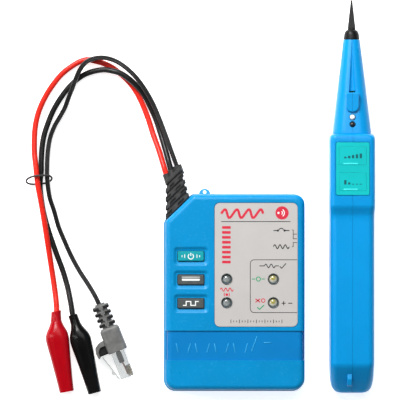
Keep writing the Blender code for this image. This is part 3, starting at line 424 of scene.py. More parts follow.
def plate(name, outline, z_low, z_high):
    """A flat outline made thick, between two heights."""
    bm = bmesh.new()
    low = [bm.verts.new((x, y, z_low)) for x, y in outline]
    high = [bm.verts.new((x, y, z_high)) for x, y in outline]
    bm.faces.new(low[::-1])
    bm.faces.new(high)
    for i in range(len(outline)):
        j = (i + 1) % len(outline)
        bm.faces.new((low[i], low[j], high[j], high[i]))
    return solid(name, bm)


def rim_rounded(obj, up, width, segments=8):
    """Round only the rim of a plate's upper or lower face."""
    bm = bmesh.new()
    bm.from_mesh(obj.data)
    weight = bm.edges.layers.float.new("bevel_weight_edge")
    for edge in bm.edges:
        if any(face.normal.z * up > 0.9 for face in edge.link_faces):
            edge[weight] = 1.0
    bm.to_mesh(obj.data)
    bm.free()
    return bevelled(obj, width, segments, "WEIGHT")


def loft(name, rings, closed=False):
    """A closed solid through rings that have the same number of points."""
    bm = bmesh.new()
    rows = [[bm.verts.new(point) for point in ring] for ring in rings]
    count = len(rows[0])
    following_rows = rows[1:] + ([rows[0]] if closed else [])
    for row, following in zip(rows, following_rows):
        for i in range(count):
            j = (i + 1) % count
            bm.faces.new((row[i], row[j], following[j], following[i]))
    if not closed:
        bm.faces.new(rows[0])
        bm.faces.new(rows[-1])
    return solid(name, bm)


def bool_with(target, others, operation, solver="EXACT"):
    """Cut, join or cross one piece with others, which are then gone."""
    for other in others:
        step = target.modifiers.new("Cut", "BOOLEAN")
        step.operation = operation
        step.solver = solver
        step.object = other
        applied(target)
        bpy.data.objects.remove(other, do_unlink=True)
    return target


def cut(target, *others):
    return bool_with(target, others, "DIFFERENCE")


def join(target, *others):
    return bool_with(target, others, "UNION")


def merged(name, objs):
    """Several separate meshes as one piece."""
    bm = bmesh.new()
    for obj in objs:
        other = applied(obj) if obj.modifiers else obj
        bm.from_mesh(other.data)
        bpy.data.objects.remove(other, do_unlink=True)
    mesh = bpy.data.meshes.new(name)
    bm.to_mesh(mesh)
    bm.free()
    return linked(name, mesh)


def smooth_route(route, step):
    """Evenly spaced points on a smooth curve through the route's own points."""
    ends = [2 * Vector(route[0]) - Vector(route[1])] + [Vector(p) for p in route]
    ends.append(2 * Vector(route[-1]) - Vector(route[-2]))
    fine = []
    for a, b, c, d in zip(ends, ends[1:], ends[2:], ends[3:]):
        for k in range(12):
            t = k / 12
            bend = (2 * a - 5 * b + 4 * c - d) * t**2 + (3 * (b - c) + d - a) * t**3
            fine.append((2 * b + (c - a) * t + bend) / 2)
    fine.append(Vector(route[-1]))
    run = [0.0]
    for here, there in zip(fine, fine[1:]):
        run.append(run[-1] + (there - here).length)
    count = max(2, round(run[-1] / step))
    points, at = [], 0
    for i in range(count + 1):
        along = run[-1] * i / count
        while at < len(run) - 2 and run[at + 1] < along:
            at += 1
        share = (along - run[at]) / (run[at + 1] - run[at])
        points.append(fine[at].lerp(fine[at + 1], share))
    return points, run[-1] * MM


def tube(name, points, radius, closed=False, sides=6):
    data = bpy.data.curves.new(name, "CURVE")
    data.dimensions = "3D"
    data.bevel_depth = radius * MM
    data.bevel_resolution = sides
    data.use_fill_caps = not closed
    spline = data.splines.new("POLY")
    spline.points.add(len(points) - 1)
    for point, place in zip(spline.points, points):
        point.co = (*(Vector(place) * MM), 1.0)
    spline.use_cyclic_u = closed
    return linked(name, data)


# Leads

LEAD_RADIUS = 1.6
FLAT_HALF = (1.3, 2.4)  # half the flat lead's thickness and half its width, which stands on edge
RED_ROUTE = (
    (-57.2, 11.6, 13.0), (-58.6, 16.0, 12.4), (-61.3, 24.9, 8.4), (-64.9, 34.9, 3.9), (-68.4, 45.6, 1.8),
    (-73.0, 56.3, 1.65), (-78.3, 64.2, 1.65), (-86.2, 71.3, 1.65), (-91.9, 74.6, 1.65), (-97.6, 76.3, 1.65),
    (-101.9, 77.1, 1.65), (-106.2, 76.0, 1.65), (-111.2, 73.1, 1.65), (-116.2, 69.2, 1.65),
    (-120.5, 64.2, 1.65),
    (-124.8, 57.8, 1.65), (-128.4, 50.6, 1.65), (-130.5, 44.2, 1.7), (-131.6, 37.8, 2.1), (-131.9, 31.4, 2.9),
    (-131.8, 24.3, 4.2), (-131.0, 17.8, 5.8), (-129.9, 7.6, 6.6), (-128.1, -2.6, 6.0), (-126.1, -14.5, 5.2),
    (-124.0, -28.6, 3.9), (-122.0, -41.9, 2.4), (-120.2, -53.8, 3.3), (-119.4, -60.5, 5.2),
    (-119.2, -64.9, 6.0),
)
BLACK_ROUTE = (
    (-54.5, 13.6, 13.0), (-56.2, 19.9, 11.7), (-58.2, 27.1, 8.4), (-60.8, 35.6, 5.0), (-63.4, 43.5, 3.5),
    (-66.6, 50.6, 3.5), (-70.4, 57.8, 3.95), (-76.2, 64.2, 4.9), (-82.6, 68.9, 5.3), (-88.0, 70.6, 4.6),
    (-93.4, 71.3, 3.1), (-100.5, 69.9, 1.8), (-106.2, 67.1, 1.65), (-111.9, 62.1, 1.65), (-116.9, 55.7, 1.65),
    (-121.2, 48.5, 1.65), (-124.2, 41.4, 1.65), (-126.5, 34.2, 1.7), (-127.6, 27.1, 2.0), (-128.0, 19.0, 2.8),
    (-128.0, 13.8, 3.1), (-128.6, 8.6, 3.1), (-128.5, 3.0, 2.9), (-127.2, -6.6, 2.1), (-124.7, -16.8, 1.65),
    (-122.2, -24.6, 1.65), (-119.1, -33.3, 1.65), (-115.9, -41.9, 1.7), (-113.1, -51.4, 2.6),
    (-111.2, -60.5, 5.2),
    (-110.2, -66.7, 6.0),
)
FLAT_ROUTE = (
    (-51.3, 16.3, 13.0), (-54.4, 24.9, 12.4), (-57.8, 34.2, 10.6), (-61.3, 43.5, 8.8), (-65.3, 52.8, 8.2),
    (-70.0, 60.9, 8.5), (-75.2, 67.7, 8.5), (-81.0, 73.0, 7.4), (-86.2, 76.2, 6.4), (-91.2, 77.8, 6.0),
    (-95.5, 78.0, 6.0), (-99.7, 77.1, 6.0), (-103.3, 74.9, 6.0), (-106.2, 71.0, 6.0), (-108.3, 66.4, 5.9),
    (-110.4, 60.7, 5.7), (-112.4, 55.7, 4.6), (-114.6, 50.0, 3.3), (-117.4, 44.9, 2.5), (-120.3, 39.9, 2.4),
    (-122.6, 34.2, 2.4), (-123.8, 28.5, 2.9), (-124.4, 22.1, 3.9), (-124.6, 15.0, 4.8), (-124.5, 9.5, 5.0),
    (-123.2, -0.3, 4.2), (-120.7, -8.2, 3.1), (-118.3, -16.8, 2.5), (-115.1, -24.6, 2.4),
    (-111.2, -33.3, 2.5),
    (-106.5, -41.9, 3.2), (-101.8, -49.0, 4.5), (-97.6, -55.9, 6.1), (-95.2, -60.9, 6.6),
)


def flat_ring(point, along):
    """A flat lead's section: two round-edged strips with a shallow groove between them."""
    side = along.cross(Vector((0, 0, 1))).normalized()
    up = side.cross(along).normalized()
    thick, wide = FLAT_HALF
    ring = []
    steps = 28
    for k in range(steps):
        turn = math.tau * k / steps
        c, s = math.cos(turn), math.sin(turn)
        reach = (abs(c) ** 4 + abs(s) ** 4) ** -0.25
        a, b = thick * c * reach, wide * s * reach
        groove = 0.22 * math.exp(-((a / 0.35) ** 2)) if abs(s) > 0.7 else 0.0
        ring.append(point + side * a + up * (b - math.copysign(groove, b)))
    return ring


def leads():
    made = {}
    for name, route, look, node in (("red_lead", RED_ROUTE, "red_vinyl", "lead_red"),
                                    ("black_lead", BLACK_ROUTE, "black_vinyl", "lead_black")):
        points, length = smooth_route(route, 1.5)
        lead = finished(tube(name, points, LEAD_RADIUS), "toner", look, [node])
        made[name] = (lead, Vector(route[0]) * MM, length, None)
    points, length = smooth_route(FLAT_ROUTE, 1.5)
    rings = []
    for i, point in enumerate(points):
        along = points[min(i + 1, len(points) - 1)] - points[max(i - 1, 0)]
        rings.append(flat_ring(point, along.normalized()))
    lead = finished(loft("flat_lead", rings), "toner", "black_vinyl", ["lead_modular"], angle=60,
                    weighted=False)
    made["flat_lead"] = (lead, Vector(FLAT_ROUTE[0]) * MM, length, [tuple(p * MM) for p in points])
    return made


def cable_tie():
    loop = []
    steps = 64
    for i in range(steps):
        turn = math.tau * i / steps
        c, s = (math.copysign(abs(f(turn)) ** 0.75, f(turn)) for f in (math.cos, math.sin))
        y = 9.3 + 2.3 * math.sin(turn) + 0.9 * math.cos(turn)
        loop.append((-129.1 + 7.2 * c, y, 4.95 + 4.4 * s))
    tie = applied(tube("cable_tie_loop", loop, 0.55, closed=True))
    return finished(tie, "toner", "relief_rubber", ["cable_tie"], angle=60, weighted=False)


# Toner

TONER = {"left": -58.85, "right": 20.15, "bottom": -109.3, "top": 1.3}
TONER_HIGH = 27.0
PARTING_Z = 11.0
CHAMFER_A, CHAMFER_B = Vector((-58.1, -13.3)), Vector((-43.0, 1.3))
CHAMFER_ALONG = (CHAMFER_B - CHAMFER_A).normalized()
SUNK = 0.7  # how far the band and the label lie below the face
BAND_LOW, BAND_HIGH = -91.45, -74.9
LABEL_X, LABEL_Y = (-30.35, 15.85), (-72.6, -3.75)
BUTTON_X, BUTTON_SIZE = -43.6, (14.7, 5.5)
BUTTONS = {"power": -33.4, "steady_tone": -46.5, "alternate_tone": -59.7}
LED_X, LED_Y = (-23.6, 2.35), (-46.1, -59.25)
POSTS = ((-52.3, -102.6), (13.7, -102.6), (13.7, -5.6), (-38.4, -6.2))
SWITCH_Y = -24.6
DOOR_X = -19.35


def toner_outline(left=0.0, right=0.0, bottom=0.0, top=0.0, slant=0.0, shrink=0.0, steps=12):
    """The case's outline, each side moved in by its own amount, with the corners rounded."""
    left, right = TONER["left"] + left, TONER["right"] - right
    bottom, top = TONER["bottom"] + bottom, TONER["top"] - top
    along = CHAMFER_ALONG
    through = CHAMFER_B + Vector((along.y, -along.x)) * slant
    upper_x = through.x + along.x * (top - through.y) / along.y
    lower_y = through.y + along.y * (left - through.x) / along.x
    return rounded([
        (left, bottom, 6.5 - shrink), (right, bottom, 7.0 - shrink), (right, top, 6.0 - shrink),
        (upper_x, top, 4.0 - shrink), (left, lower_y, 4.0 - shrink),
    ], steps)


def slant_block(name, half_width, near, far, z):
    """A block square to the slanting corner, from near to far along its outward direction."""
    made = block(name, (-half_width, near, z[0]), (half_width, far, z[1]))
    turn = Matrix.Rotation(math.atan2(CHAMFER_ALONG.y, CHAMFER_ALONG.x), 4, "Z")
    made.data.transform(Matrix.Translation(Vector((-51.15, -6.6, 0.0)) * MM) @ turn)
    return made


def dish(name, x, y):
    """The cutter for a button's pocket: a floor, then walls that curve out to the case's face."""
    rings = []
    for z, grow in ((25.95, 0.0), (26.1, 0.35), (26.35, 0.75), (26.65, 1.3), (26.88, 1.8), (27.05, 2.4),
                    (27.6, 3.6)):
        wide, deep = 8.2 + grow * 0.85, 3.45 + grow * 0.95
        outline = box_outline((x - wide, x + wide), (y - deep, y + deep), 0.9 + grow * 0.8)
        rings.append([(a, b, z) for a, b in outline])
    return loft(name, rings)


def painted(obj, look, chosen):
    """Give the faces that pass a test a second material."""
    obj.data.materials.append(FINISH[look])
    index = len(obj.data.materials) - 1
    for face in obj.data.polygons:
        if chosen(face.center / MM, face.normal):
            face.material_index = index


def toner_front():
    cover = plate("toner_front_shell", toner_outline(1.1, 0.3, 1.1, 0.3, 0.6, 0.6), PARTING_Z + 0.3,
                  TONER_HIGH)
    cover = rim_rounded(cover, 1, 3.1, 10)
    cut(cover, plate("hollow", toner_outline(3.1, 2.3, 3.1, 2.3, 2.6, 2.4), PARTING_Z - 1, TONER_HIGH - 2.0))
    band = block("band", (TONER["left"] - 5, BAND_LOW, 13.0), (TONER["right"] + 5, BAND_HIGH, TONER_HIGH + 2))
    kept = rim_rounded(plate("kept", toner_outline(1.9, 1.1, 1.9, 1.1, 0.6, 1.0), 8.0, TONER_HIGH - SUNK), 1,
                       2.7, 10)
    cut(cover, cut(band, kept))
    label = [(a - 0.3, b + 0.3) for a, b in (LABEL_X, LABEL_Y)]
    cut(cover, plate("label_recess", box_outline(*label, 3.1), TONER_HIGH - SUNK, TONER_HIGH + 1))
    for y in BUTTONS.values():
        cut(cover, dish("dish", BUTTON_X + 0.15, y))
        wide, deep = (side / 2 + 0.3 for side in BUTTON_SIZE)
        window = box_outline((BUTTON_X - wide, BUTTON_X + wide), (y - deep, y + deep), 0.9)
        cut(cover, plate("window", window, 20.0, 30.0))
    for x in LED_X:
        for y in LED_Y:
            cut(cover, rod("lamp_hole", (x, y, 20.0), (x, y, 30.0), 2.8))
    cut(cover, block("switch_slot", (17.0, SWITCH_Y - 4.3, 17.6), (22.0, SWITCH_Y + 4.3, 20.4)))
    cut(cover, slant_block("relief_hole", 4.3, -6.0, 4.0, (8.7, 17.3)))
    finished(cover, "toner", "toner_blue", ["toner_front_cover"])
    # The band's faces get the darker blue: painted shade for the sunk band.
    painted(cover, "toner_band_painted_shade_blue", lambda at,
            facing: BAND_LOW < at.y < BAND_HIGH and at.z > 12.9 and abs(facing.y) < 0.9)
    # Low ridges stand in for the band's embossed lettering; their paler blue is a painted highlight.
    ribs = []
    for i in range(8):
        x = -50.6 + 5.3 * i
        lean = 1.5 if i % 2 else -1.2
        ribs.append(rib(f"band_rib_{i}", (x, -87.3), (x + lean, -81.9), TONER_HIGH - SUNK))
    ribs.append(rib("band_rib_long", (-9.9, -86.6), (-6.6, -77.9), TONER_HIGH - SUNK))
    ribs.append(rib("band_rib_end", (-3.0, -81.6), (1.2, -81.6), TONER_HIGH - SUNK))
    finished(merged("toner_band_ribs", ribs), "toner", "band_rib_painted_highlight_blue", angle=60)


def rib(name, start, end, z, half=0.28, high=0.22):
    """A low ridge with a rounded top and tapered ends."""
    start, end = Vector((*start, z)), Vector((*end, z))
    along = (end - start).normalized()
    side = Vector((along.y, -along.x, 0.0))
    rings = []
    for share, size in ((0.0, 0.15), (0.03, 0.6), (0.08, 1.0), (0.5, 1.0), (0.92, 1.0), (0.97, 0.6),
                        (1.0, 0.15)):
        at = start.lerp(end, share)
        ring = []
        for k in range(9):
            turn = math.pi * k / 8
            ring.append(at + side * half * size * math.cos(turn) + Vector((0, 0,
                high * size * math.sin(turn))))
        ring.append(at - side * half * size - Vector((0, 0, 0.1)))
        ring.append(at + side * half * size - Vector((0, 0, 0.1)))
        rings.append(ring)
    return loft(name, rings)


def toner_back():
    cover = rim_rounded(plate("toner_back_shell", toner_outline(), 0.0, PARTING_Z), -1, 2.0, 6)
    cover = rim_rounded(cover, 1, 0.35, 3)
    cut(cover, plate("hollow", toner_outline(2, 2, 2, 2, 2, 2.0), 2.0, PARTING_Z + 1))
    eyelet = plate("eyelet", rounded([
        (-39.05, 0.0, 0), (-32.75, 0.0, 0), (-32.75, 4.2, 2.9), (-39.05, 4.2, 2.9)], 12), 4.0, 8.5)
    join(cover, bevelled(eyelet, 0.4, 4))
    cut(cover, rod("eyelet_hole", (-35.9, 2.35, 0.0), (-35.9, 2.35, 10.5), 0.95))
    for x, y in POSTS:
        join(cover, rod("post", (x, y, 1.4), (x, y, PARTING_Z - 0.2), 3.9))
        cut(cover, rod("head_bore", (x, y, -1.0), (x, y, 2.5), 2.9),
            rod("shank_bore", (x, y, 2.0), (x, y, 12.5), 1.5))
    cut(cover, block("door_opening", (DOOR_X - 15.2, TONER["bottom"] - 1, -1.0), (DOOR_X + 15.2, -54.0, 2.2)))
    cut(cover, slant_block("relief_hole", 4.3, -6.0, 4.0, (8.7, 17.3)))
    # The lower shell's paler blue is a painted reflection.
    finished(cover, "toner", "toner_lower_painted_reflection_blue", ["toner_back_cover"])
    door = block("toner_door_panel", (DOOR_X - 14.9, -109.0, 0.3), (DOOR_X + 14.9, -54.3, 2.0), 0.35, 3)
    ridges = [rib(f"door_ridge_{i}", (DOOR_X - 7.5, -64.0 - 1.8 * i), (DOOR_X + 7.5, -64.0 - 1.8 * i), 0.0,
                  0.4, 0.25)
              for i in range(6)]
    for ridge in ridges:
        ridge.data.transform(Matrix.Translation((0, 0, 0.32 * MM)) @ Matrix.Diagonal((1, 1, -1, 1)))
        ridge.data.flip_normals()
    finished(merged("toner_door_with_grip", [door, *ridges]), "toner_door", "toner_lower_painted_reflection_blue",
             ["toner_battery_door"])


def ribbon(bm, points, width, z, high=0.035, closed=False):
    """A flat printed line of even width, a hair thick."""
    points = [Vector(p) for p in points]
    count = len(points)
    rows = []
    for i, here in enumerate(points):
        before = points[i - 1] if i or closed else here
        after = points[(i + 1) % count] if i < count - 1 or closed else here
        first = (here - before).normalized() if (here - before).length else (after - here).normalized()
        last = (after - here).normalized() if (after - here).length else first
        along = (first + last).normalized() if (first + last).length > 0.01 else first
        side = Vector((along.y, -along.x)) * (width / 2 / max(0.5, along.dot(first)))
        rows.append([bm.verts.new((*(here + side * s), z + up)) for s,
                     up in ((1, 0), (1, high), (-1, high), (-1, 0))])
    for row, following in zip(rows, rows[1:] + ([rows[0]] if closed else [])):
        for k in range(4):
            j = (k + 1) % 4
            bm.faces.new((row[k], row[j], following[j], following[k]))
    if not closed:
        bm.faces.new(rows[0])
        bm.faces.new(rows[-1])


def patch(bm, outline, z, high=0.035):
    """A flat printed shape, a hair thick."""
    low = [bm.verts.new((x, y, z)) for x, y in outline]
    top = [bm.verts.new((x, y, z + high)) for x, y in outline]
    bm.faces.new(low[::-1])
    bm.faces.new(top)
    for i in range(len(outline)):
        j = (i + 1) % len(outline)
        bm.faces.new((low[i], low[j], top[j], top[i]))


def ring_points(x, y, radius, start=0.0, end=360.0, steps=32):
    angles = [math.radians(start + (end - start) * k / steps) for k in range(steps + (0 if end - start >= 360 else 1))]
    return [(x + radius * math.cos(a), y + radius * math.sin(a)) for a in angles]


def wave_points(x, y, high, count, lean=0.0, steps=10):
    """A sine line from x[0] to x[1] about y."""
    total = round(count * steps)
    return [(x[0] + (x[1] - x[0]) * k / total + lean * math.sin(math.tau * k / steps),
             y + high * math.sin(math.tau * k / steps))
            for k in range(total + 1)]


def label_prints():
    z = TONER_HIGH
    red, dark, green, pale = bmesh.new(), bmesh.new(), bmesh.new(), bmesh.new()
    # Heading: a bold tone wave, a round mark and a rule.
    ribbon(red, wave_points((-26.7, -3.4), -9.7, 2.35, 3.5, 0.5), 1.35, z)
    patch(red, ring_points(7.2, -9.3, 3.7), z)
    for radius in (1.1, 2.2):
        ribbon(pale, ring_points(6.3, -9.3, radius, -55, 55, 10), 0.5, z + 0.036)
    patch(pale, ring_points(5.2, -9.3, 0.6), z + 0.036)
    ribbon(dark, [(-26.7, -14.1), (11.9, -14.1)], 0.42, z)
    # Level column down the left.
    for i in range(8):
        y = -17.4 - 2.75 * i
        patch(red, box_outline((-26.2, -21.4), (y - 0.75, y + 0.75), 0.3, 2), z)
    # Continuity and tone marks beside the slide switch, with its bracket lines.
    ribbon(dark, [(2.4, -19.1), (4.6, -19.1)], 0.55, z)
    ribbon(dark, [(8.9, -19.1), (11.3, -19.1)], 0.55, z)
    patch(dark, ring_points(4.9, -19.1, 0.62), z)
    patch(dark, ring_points(8.6, -19.1, 0.62), z)
    ribbon(dark, ring_points(6.75, -19.1, 1.25, 20, 160, 8), 0.5, z)
    ribbon(dark, wave_points((2.4, 11.2), -28.1, 1.1, 3), 0.55, z)
    ribbon(dark, [(12.7, -18.8), (13.4, -18.8), (13.4, -23.7), (15.5, -23.7)], 0.36, z)
    ribbon(dark, [(13.4, -21.1), (15.5, -21.1)], 0.36, z)
    ribbon(dark, [(15.5, -25.8), (13.4, -25.8), (13.4, -28.1), (12.7, -28.1)], 0.36, z)
    # Line test group: frame, heading, polarity marks.
    frame_line = [(15.6, -35.4), *reversed(ring_points(-8.3, -37.6, 2.2, 90, 180, 8)[::-1]),
                  *ring_points(-8.3, -62.6, 2.2, 180, 270, 8), (15.6, -64.8)]
    ribbon(dark, frame_line, 0.36, z)
    ribbon(dark, [(-5.4, -38.8), (-2.6, -38.8)], 0.5, z)
    ribbon(dark, wave_points((-2.6, 3.4), -38.8, 1.0, 2), 0.5, z)
    ribbon(dark, [(3.4, -38.8), (5.4, -38.8)], 0.5, z)
    ribbon(dark, [(5.9, -39.1), (7.0, -40.1), (9.4, -37.4)], 0.5, z)
    ribbon(green, [(-9.6, -46.1), (-7.8, -46.1)], 0.5, z)
    ribbon(green, [(-4.2, -46.1), (-2.4, -46.1)], 0.5, z)
    ribbon(green, ring_points(-6.0, -46.1, 1.15), 0.5, z, closed=True)
    ribbon(red, [(-7.6, -57.1), (-5.0, -59.1)], 0.55, z)
    ribbon(red, [(-7.6, -59.1), (-5.0, -57.1)], 0.55, z)
    ribbon(red, ring_points(-3.3, -58.1, 1.0), 0.45, z, closed=True)
    ribbon(green, [(-6.6, -61.8), (-5.4, -63.0), (-2.8, -60.6)], 0.55, z)
    ribbon(dark, [(7.0, -59.6), (9.2, -59.6)], 0.5, z)
    ribbon(dark, [(8.1, -58.5), (8.1, -60.7)], 0.5, z)
    ribbon(dark, [(10.7, -59.6), (12.9, -59.6)], 0.5, z)
    # Tone mark between the left lamps.
    ribbon(red, wave_points((-27.2, -20.0), -52.0, 0.9, 3), 0.5, z)
    patch(red, ring_points(-23.6, -54.8, 0.75), z)
    ribbon(red, ring_points(-23.6, -54.8, 1.45, -40, 40, 6), 0.42, z)
    ribbon(red, ring_points(-23.6, -54.8, 1.45, 140, 220, 6), 0.42, z)
    # Scale of ticks along the foot.
    for i in range(19):
        x = -21.3 + 1.58 * i
        reach = 1.0 if i % 3 == 0 else 0.5
        ribbon(dark, [(x, -69.7 - reach), (x, -69.7 + reach)], 0.36, z)
    for name, bm, look in (("label_print_red", red, "print_red"), ("label_print_dark", dark, "print_dark"),
                           ("label_print_green", green, "print_green"),
                           ("label_print_pale", pale, "print_white")):
        finished(solid(name, bm), "toner", look, weighted=False)


def toner_buttons():
    for name, y in BUTTONS.items():
        wide, deep = (side / 2 for side in BUTTON_SIZE)
        outline = box_outline((BUTTON_X - wide, BUTTON_X + wide), (y - deep, y + deep), 0.8)
        cap = rim_rounded(plate(f"{name}_cap", outline, 24.3, 26.96), 1, 0.55, 6)
        look = "key_green" if name == "power" else "key_slate"
        body = f"{name}_button"
        finished(cap, body, look, [f"button_{name}"])
        bm = bmesh.new()
        z = 26.955
        if name == "power":
            ribbon(bm, ring_points(BUTTON_X, y - 0.1, 1.5, 125, 415, 20), 0.48, z)
            ribbon(bm, [(BUTTON_X, y + 0.2), (BUTTON_X, y + 1.9)], 0.48, z)
            for side in (-1, 1):
                ribbon(bm, [(BUTTON_X + side * 3.4, y - 1.0), (BUTTON_X + side * 3.4, y + 1.0)], 0.42, z)
                ribbon(bm, [(BUTTON_X + side * 4.9, y - 0.55), (BUTTON_X + side * 4.9, y + 0.55)], 0.42, z)
        elif name == "steady_tone":
            patch(bm, box_outline((BUTTON_X - 5.0, BUTTON_X + 5.0), (y - 0.55, y + 0.55), 0.4, 3), z)
            ribbon(bm, [(BUTTON_X - 5.0, y + 1.45), (BUTTON_X + 5.0, y + 1.45)], 0.34, z)
        else:
            steps = [(-4.4, -1.1), (-2.6, -1.1), (-2.6, 1.1), (0.0, 1.1), (0.0, -1.1), (2.6, -1.1),
                     (2.6, 1.1), (4.4, 1.1)]
            ribbon(bm, [(BUTTON_X + a, y + b) for a, b in steps], 0.55, z)
        finished(solid(f"{name}_mark", bm), body, "print_white", weighted=False)


def lamp_finish(name, low, middle, high, spot=None):
    """A glossy lamp with painted light and shade: bright below, dark above, painted in place of what the lens shows of
    the cup under it, with the chip in the middle.
    """
    made = bpy.data.materials.new(name)
    made.use_nodes = True
    tree = made.node_tree
    shader = tree.nodes["Principled BSDF"]
    place = tree.nodes.new("ShaderNodeTexCoord")
    split = tree.nodes.new("ShaderNodeSeparateXYZ")
    tree.links.new(place.outputs["Generated"], split.inputs["Vector"])
    ramp = tree.nodes.new("ShaderNodeValToRGB")
    elements = ramp.color_ramp.elements
    elements[0].position, elements[0].color = 0.12, (*low, 1.0)
    elements[1].position, elements[1].color = 0.85, (*high, 1.0)
    extra = elements.new(0.5)
    extra.color = (*middle, 1.0)
    # Painted light and shade: the colour runs from bright to dark across the dome.
    tree.links.new(split.outputs["Y"], ramp.inputs["Fac"])
    colour = ramp.outputs["Color"]
    if spot:
        away = tree.nodes.new("ShaderNodeVectorMath")
        away.operation = "DISTANCE"
        away.inputs[1].default_value = (0.45, 0.62, 1.0)
        tree.links.new(place.outputs["Generated"], away.inputs[0])
        edge = tree.nodes.new("ShaderNodeValToRGB")
        edge.color_ramp.elements[0].position, edge.color_ramp.elements[0].color = 0.16, (1.0, 1.0, 1.0, 1.0)
        edge.color_ramp.elements[1].position, edge.color_ramp.elements[1].color = 0.3, (0.0, 0.0, 0.0, 1.0)
        tree.links.new(away.outputs["Value"], edge.inputs["Fac"])
        mix = tree.nodes.new("ShaderNodeMix")
        mix.data_type = "RGBA"
        mix.inputs["B"].default_value = (*spot, 1.0)
        tree.links.new(edge.outputs["Color"], mix.inputs["Factor"])
        tree.links.new(colour, mix.inputs["A"])
        colour = mix.outputs["Result"]
    tree.links.new(colour, shader.inputs["Base Color"])
    shader.inputs["Roughness"].default_value = 0.1
    shader.inputs["Coat Weight"].default_value = 1.0
    shader.inputs["Coat Roughness"].default_value = 0.04
    FINISH[name] = made


def toner_lamps():
    for i, column in enumerate(("left", "right")):
        for j, row in enumerate(("upper", "lower")):
            x, y = LED_X[i], LED_Y[j]
            dome = [(2.5 * math.sin(a),
                     4.9 - 2.5 * (1 - math.cos(a)) * 0.8) for a in (math.radians(9 * k) for k in range(11))]
            profile = dome + [(2.5, 1.0), (2.9, 0.9), (2.9, 0.0), (0.0, 0.0)]
            lamp = turned(f"toner_lamp_{row}_{column}", profile, 40, Matrix.Translation((x, y, 22.7)))
            finished(lamp, "toner", "lamp_smoky_painted_light" if i == 0 else "lamp_clear_painted_light", [f"toner_led_{row}_{column}"])
            rim = [(2.62, 27.0), (2.72, 27.22), (2.95, 27.3), (3.15, 27.2), (3.18, 26.9), (3.1, 26.65),
                   (2.62, 26.65)]
            collar = turned(f"toner_lamp_rim_{row}_{column}", rim, 40, Matrix.Translation((x, y, 0.0)))
            finished(collar, "toner", "lamp_rim", angle=60)


# Strain relief

def relief_ring(share, shrink, corner=2.0):
    middle = Vector((-51.15, -6.6)).lerp(Vector((-53.5, 13.05)), share)
    wide = 9.3 + (6.1 - 9.3) * share - shrink
    deep = 6.4 + (4.5 - 6.4) * share - shrink
    outline = box_outline((-wide, wide), (-deep, deep), min(corner, deep - 0.3), 5)
    return [(middle.x + CHAMFER_ALONG.x * a, middle.y + CHAMFER_ALONG.y * a, 13.0 + b) for a, b in outline]


def strain_relief():
    """Ribbed sleeve on the slanting corner, with a short collar where each lead comes out."""
    rings = []
    plates = 5
    pitch = 1 / (plates - 0.35)
    start = 0.0
    for i in range(plates):
        low = start + (1 - start) * i * pitch
        high = start + (1 - start) * min(1.0, (i + 0.65) * pitch)
        soft = (high - low) * 0.16
        rings += [relief_ring(low, 0.45 if i else 0.1), relief_ring(low + soft * 0.4, 0.12 if i else 0.02),
                  relief_ring(low + soft, 0.0),
                  relief_ring(high - soft, 0.0), relief_ring(high - soft * 0.4, 0.12),
                  relief_ring(high, 0.45)]
        if i < plates - 1:
            rings += [relief_ring(high, 0.95), relief_ring(start + (1 - start) * (i + 1) * pitch, 0.95)]
    relief = loft("relief_sleeve", rings)
    # Two rows of window slots on the upper face, staggered from plate to plate.
    for i in range(plates - 1):
        low = start + (1 - start) * (i + 0.12) * pitch
        high = start + (1 - start) * (i + 0.53) * pitch
        shift = 1.6 if i % 2 else -1.6
        for side in (-1, 1):
            slots = []
            for share in (low, high):
                middle = Vector((-51.15, -6.6)).lerp(Vector((-53.5, 13.05)), share)
                wide = 9.3 - 3.2 * share
                for a in (side * wide * 0.5 + shift - wide * 0.26, side * wide * 0.5 + shift + wide * 0.26):
                    slots.append((middle.x + CHAMFER_ALONG.x * a, middle.y + CHAMFER_ALONG.y * a))
            outline = [slots[0], slots[1], slots[3], slots[2]]
            top = 13.0 + 6.4 - 1.9 * low
            cut(relief, plate("slot", outline, top - 1.1, top + 2.0))
    join(relief, slant_block("neck", 4.0, -4.6, 3.0, (9.0, 17.0)))
    for route, radius in ((RED_ROUTE, 2.1), (BLACK_ROUTE, 2.1), (FLAT_ROUTE, 2.7)):
        way_out = Vector(route[0])
        along = (Vector(route[1]) - way_out).normalized()
        bool_with(relief, [rod("way_out", way_out - along * 4.5, way_out + along * 0.9, radius)], "UNION",
                  "MANIFOLD")
    finished(relief, "toner", "relief_rubber", ["strain_relief"], angle=40)


# Clips: made about their hinge, jaws towards -Y, the moving half on the -X side

CLIP_Z = 6.0
CLIPS = (
    ("red_clip", (-117.75, -86.1), 10.2, 2.0, 1.0, "red_boot", 0.04),
    ("black_clip", (-104.0, -87.2), 15.0, -0.6, 0.92, "black_boot", 0.16),
)
# Distance ahead of (-) or behind (+) the hinge, half width, half height of the boot.
BOOT_STATIONS = (
    (20.8, 2.85, 2.85), (18.5, 2.9, 2.95), (16.0, 3.1, 3.3), (14.0, 3.75, 4.0), (12.0, 4.8, 4.75),
    (9.8, 5.95, 5.4),
    (8.0, 6.45, 5.65), (6.6, 6.62, 5.7), (5.2, 6.58, 5.7), (2.0, 6.3, 5.6), (-6.0, 5.5, 5.3),
    (-12.0, 5.0, 5.0),
    (-18.0, 4.5, 4.7), (-24.2, 4.1, 4.4),
)
LAP_FROM, LAP_RUN = 7.0, 5.5


def boot_size(y):
    """Half width and half height of the boot at a distance from the hinge."""
    for (high, *first), (low, *last) in zip(BOOT_STATIONS, BOOT_STATIONS[1:]):
        if y >= low - 1e-9:
            share = (high - y) / (high - low)
            return [a + (b - a) * share for a, b in zip(first, last)]
    return list(BOOT_STATIONS[-1][1:])


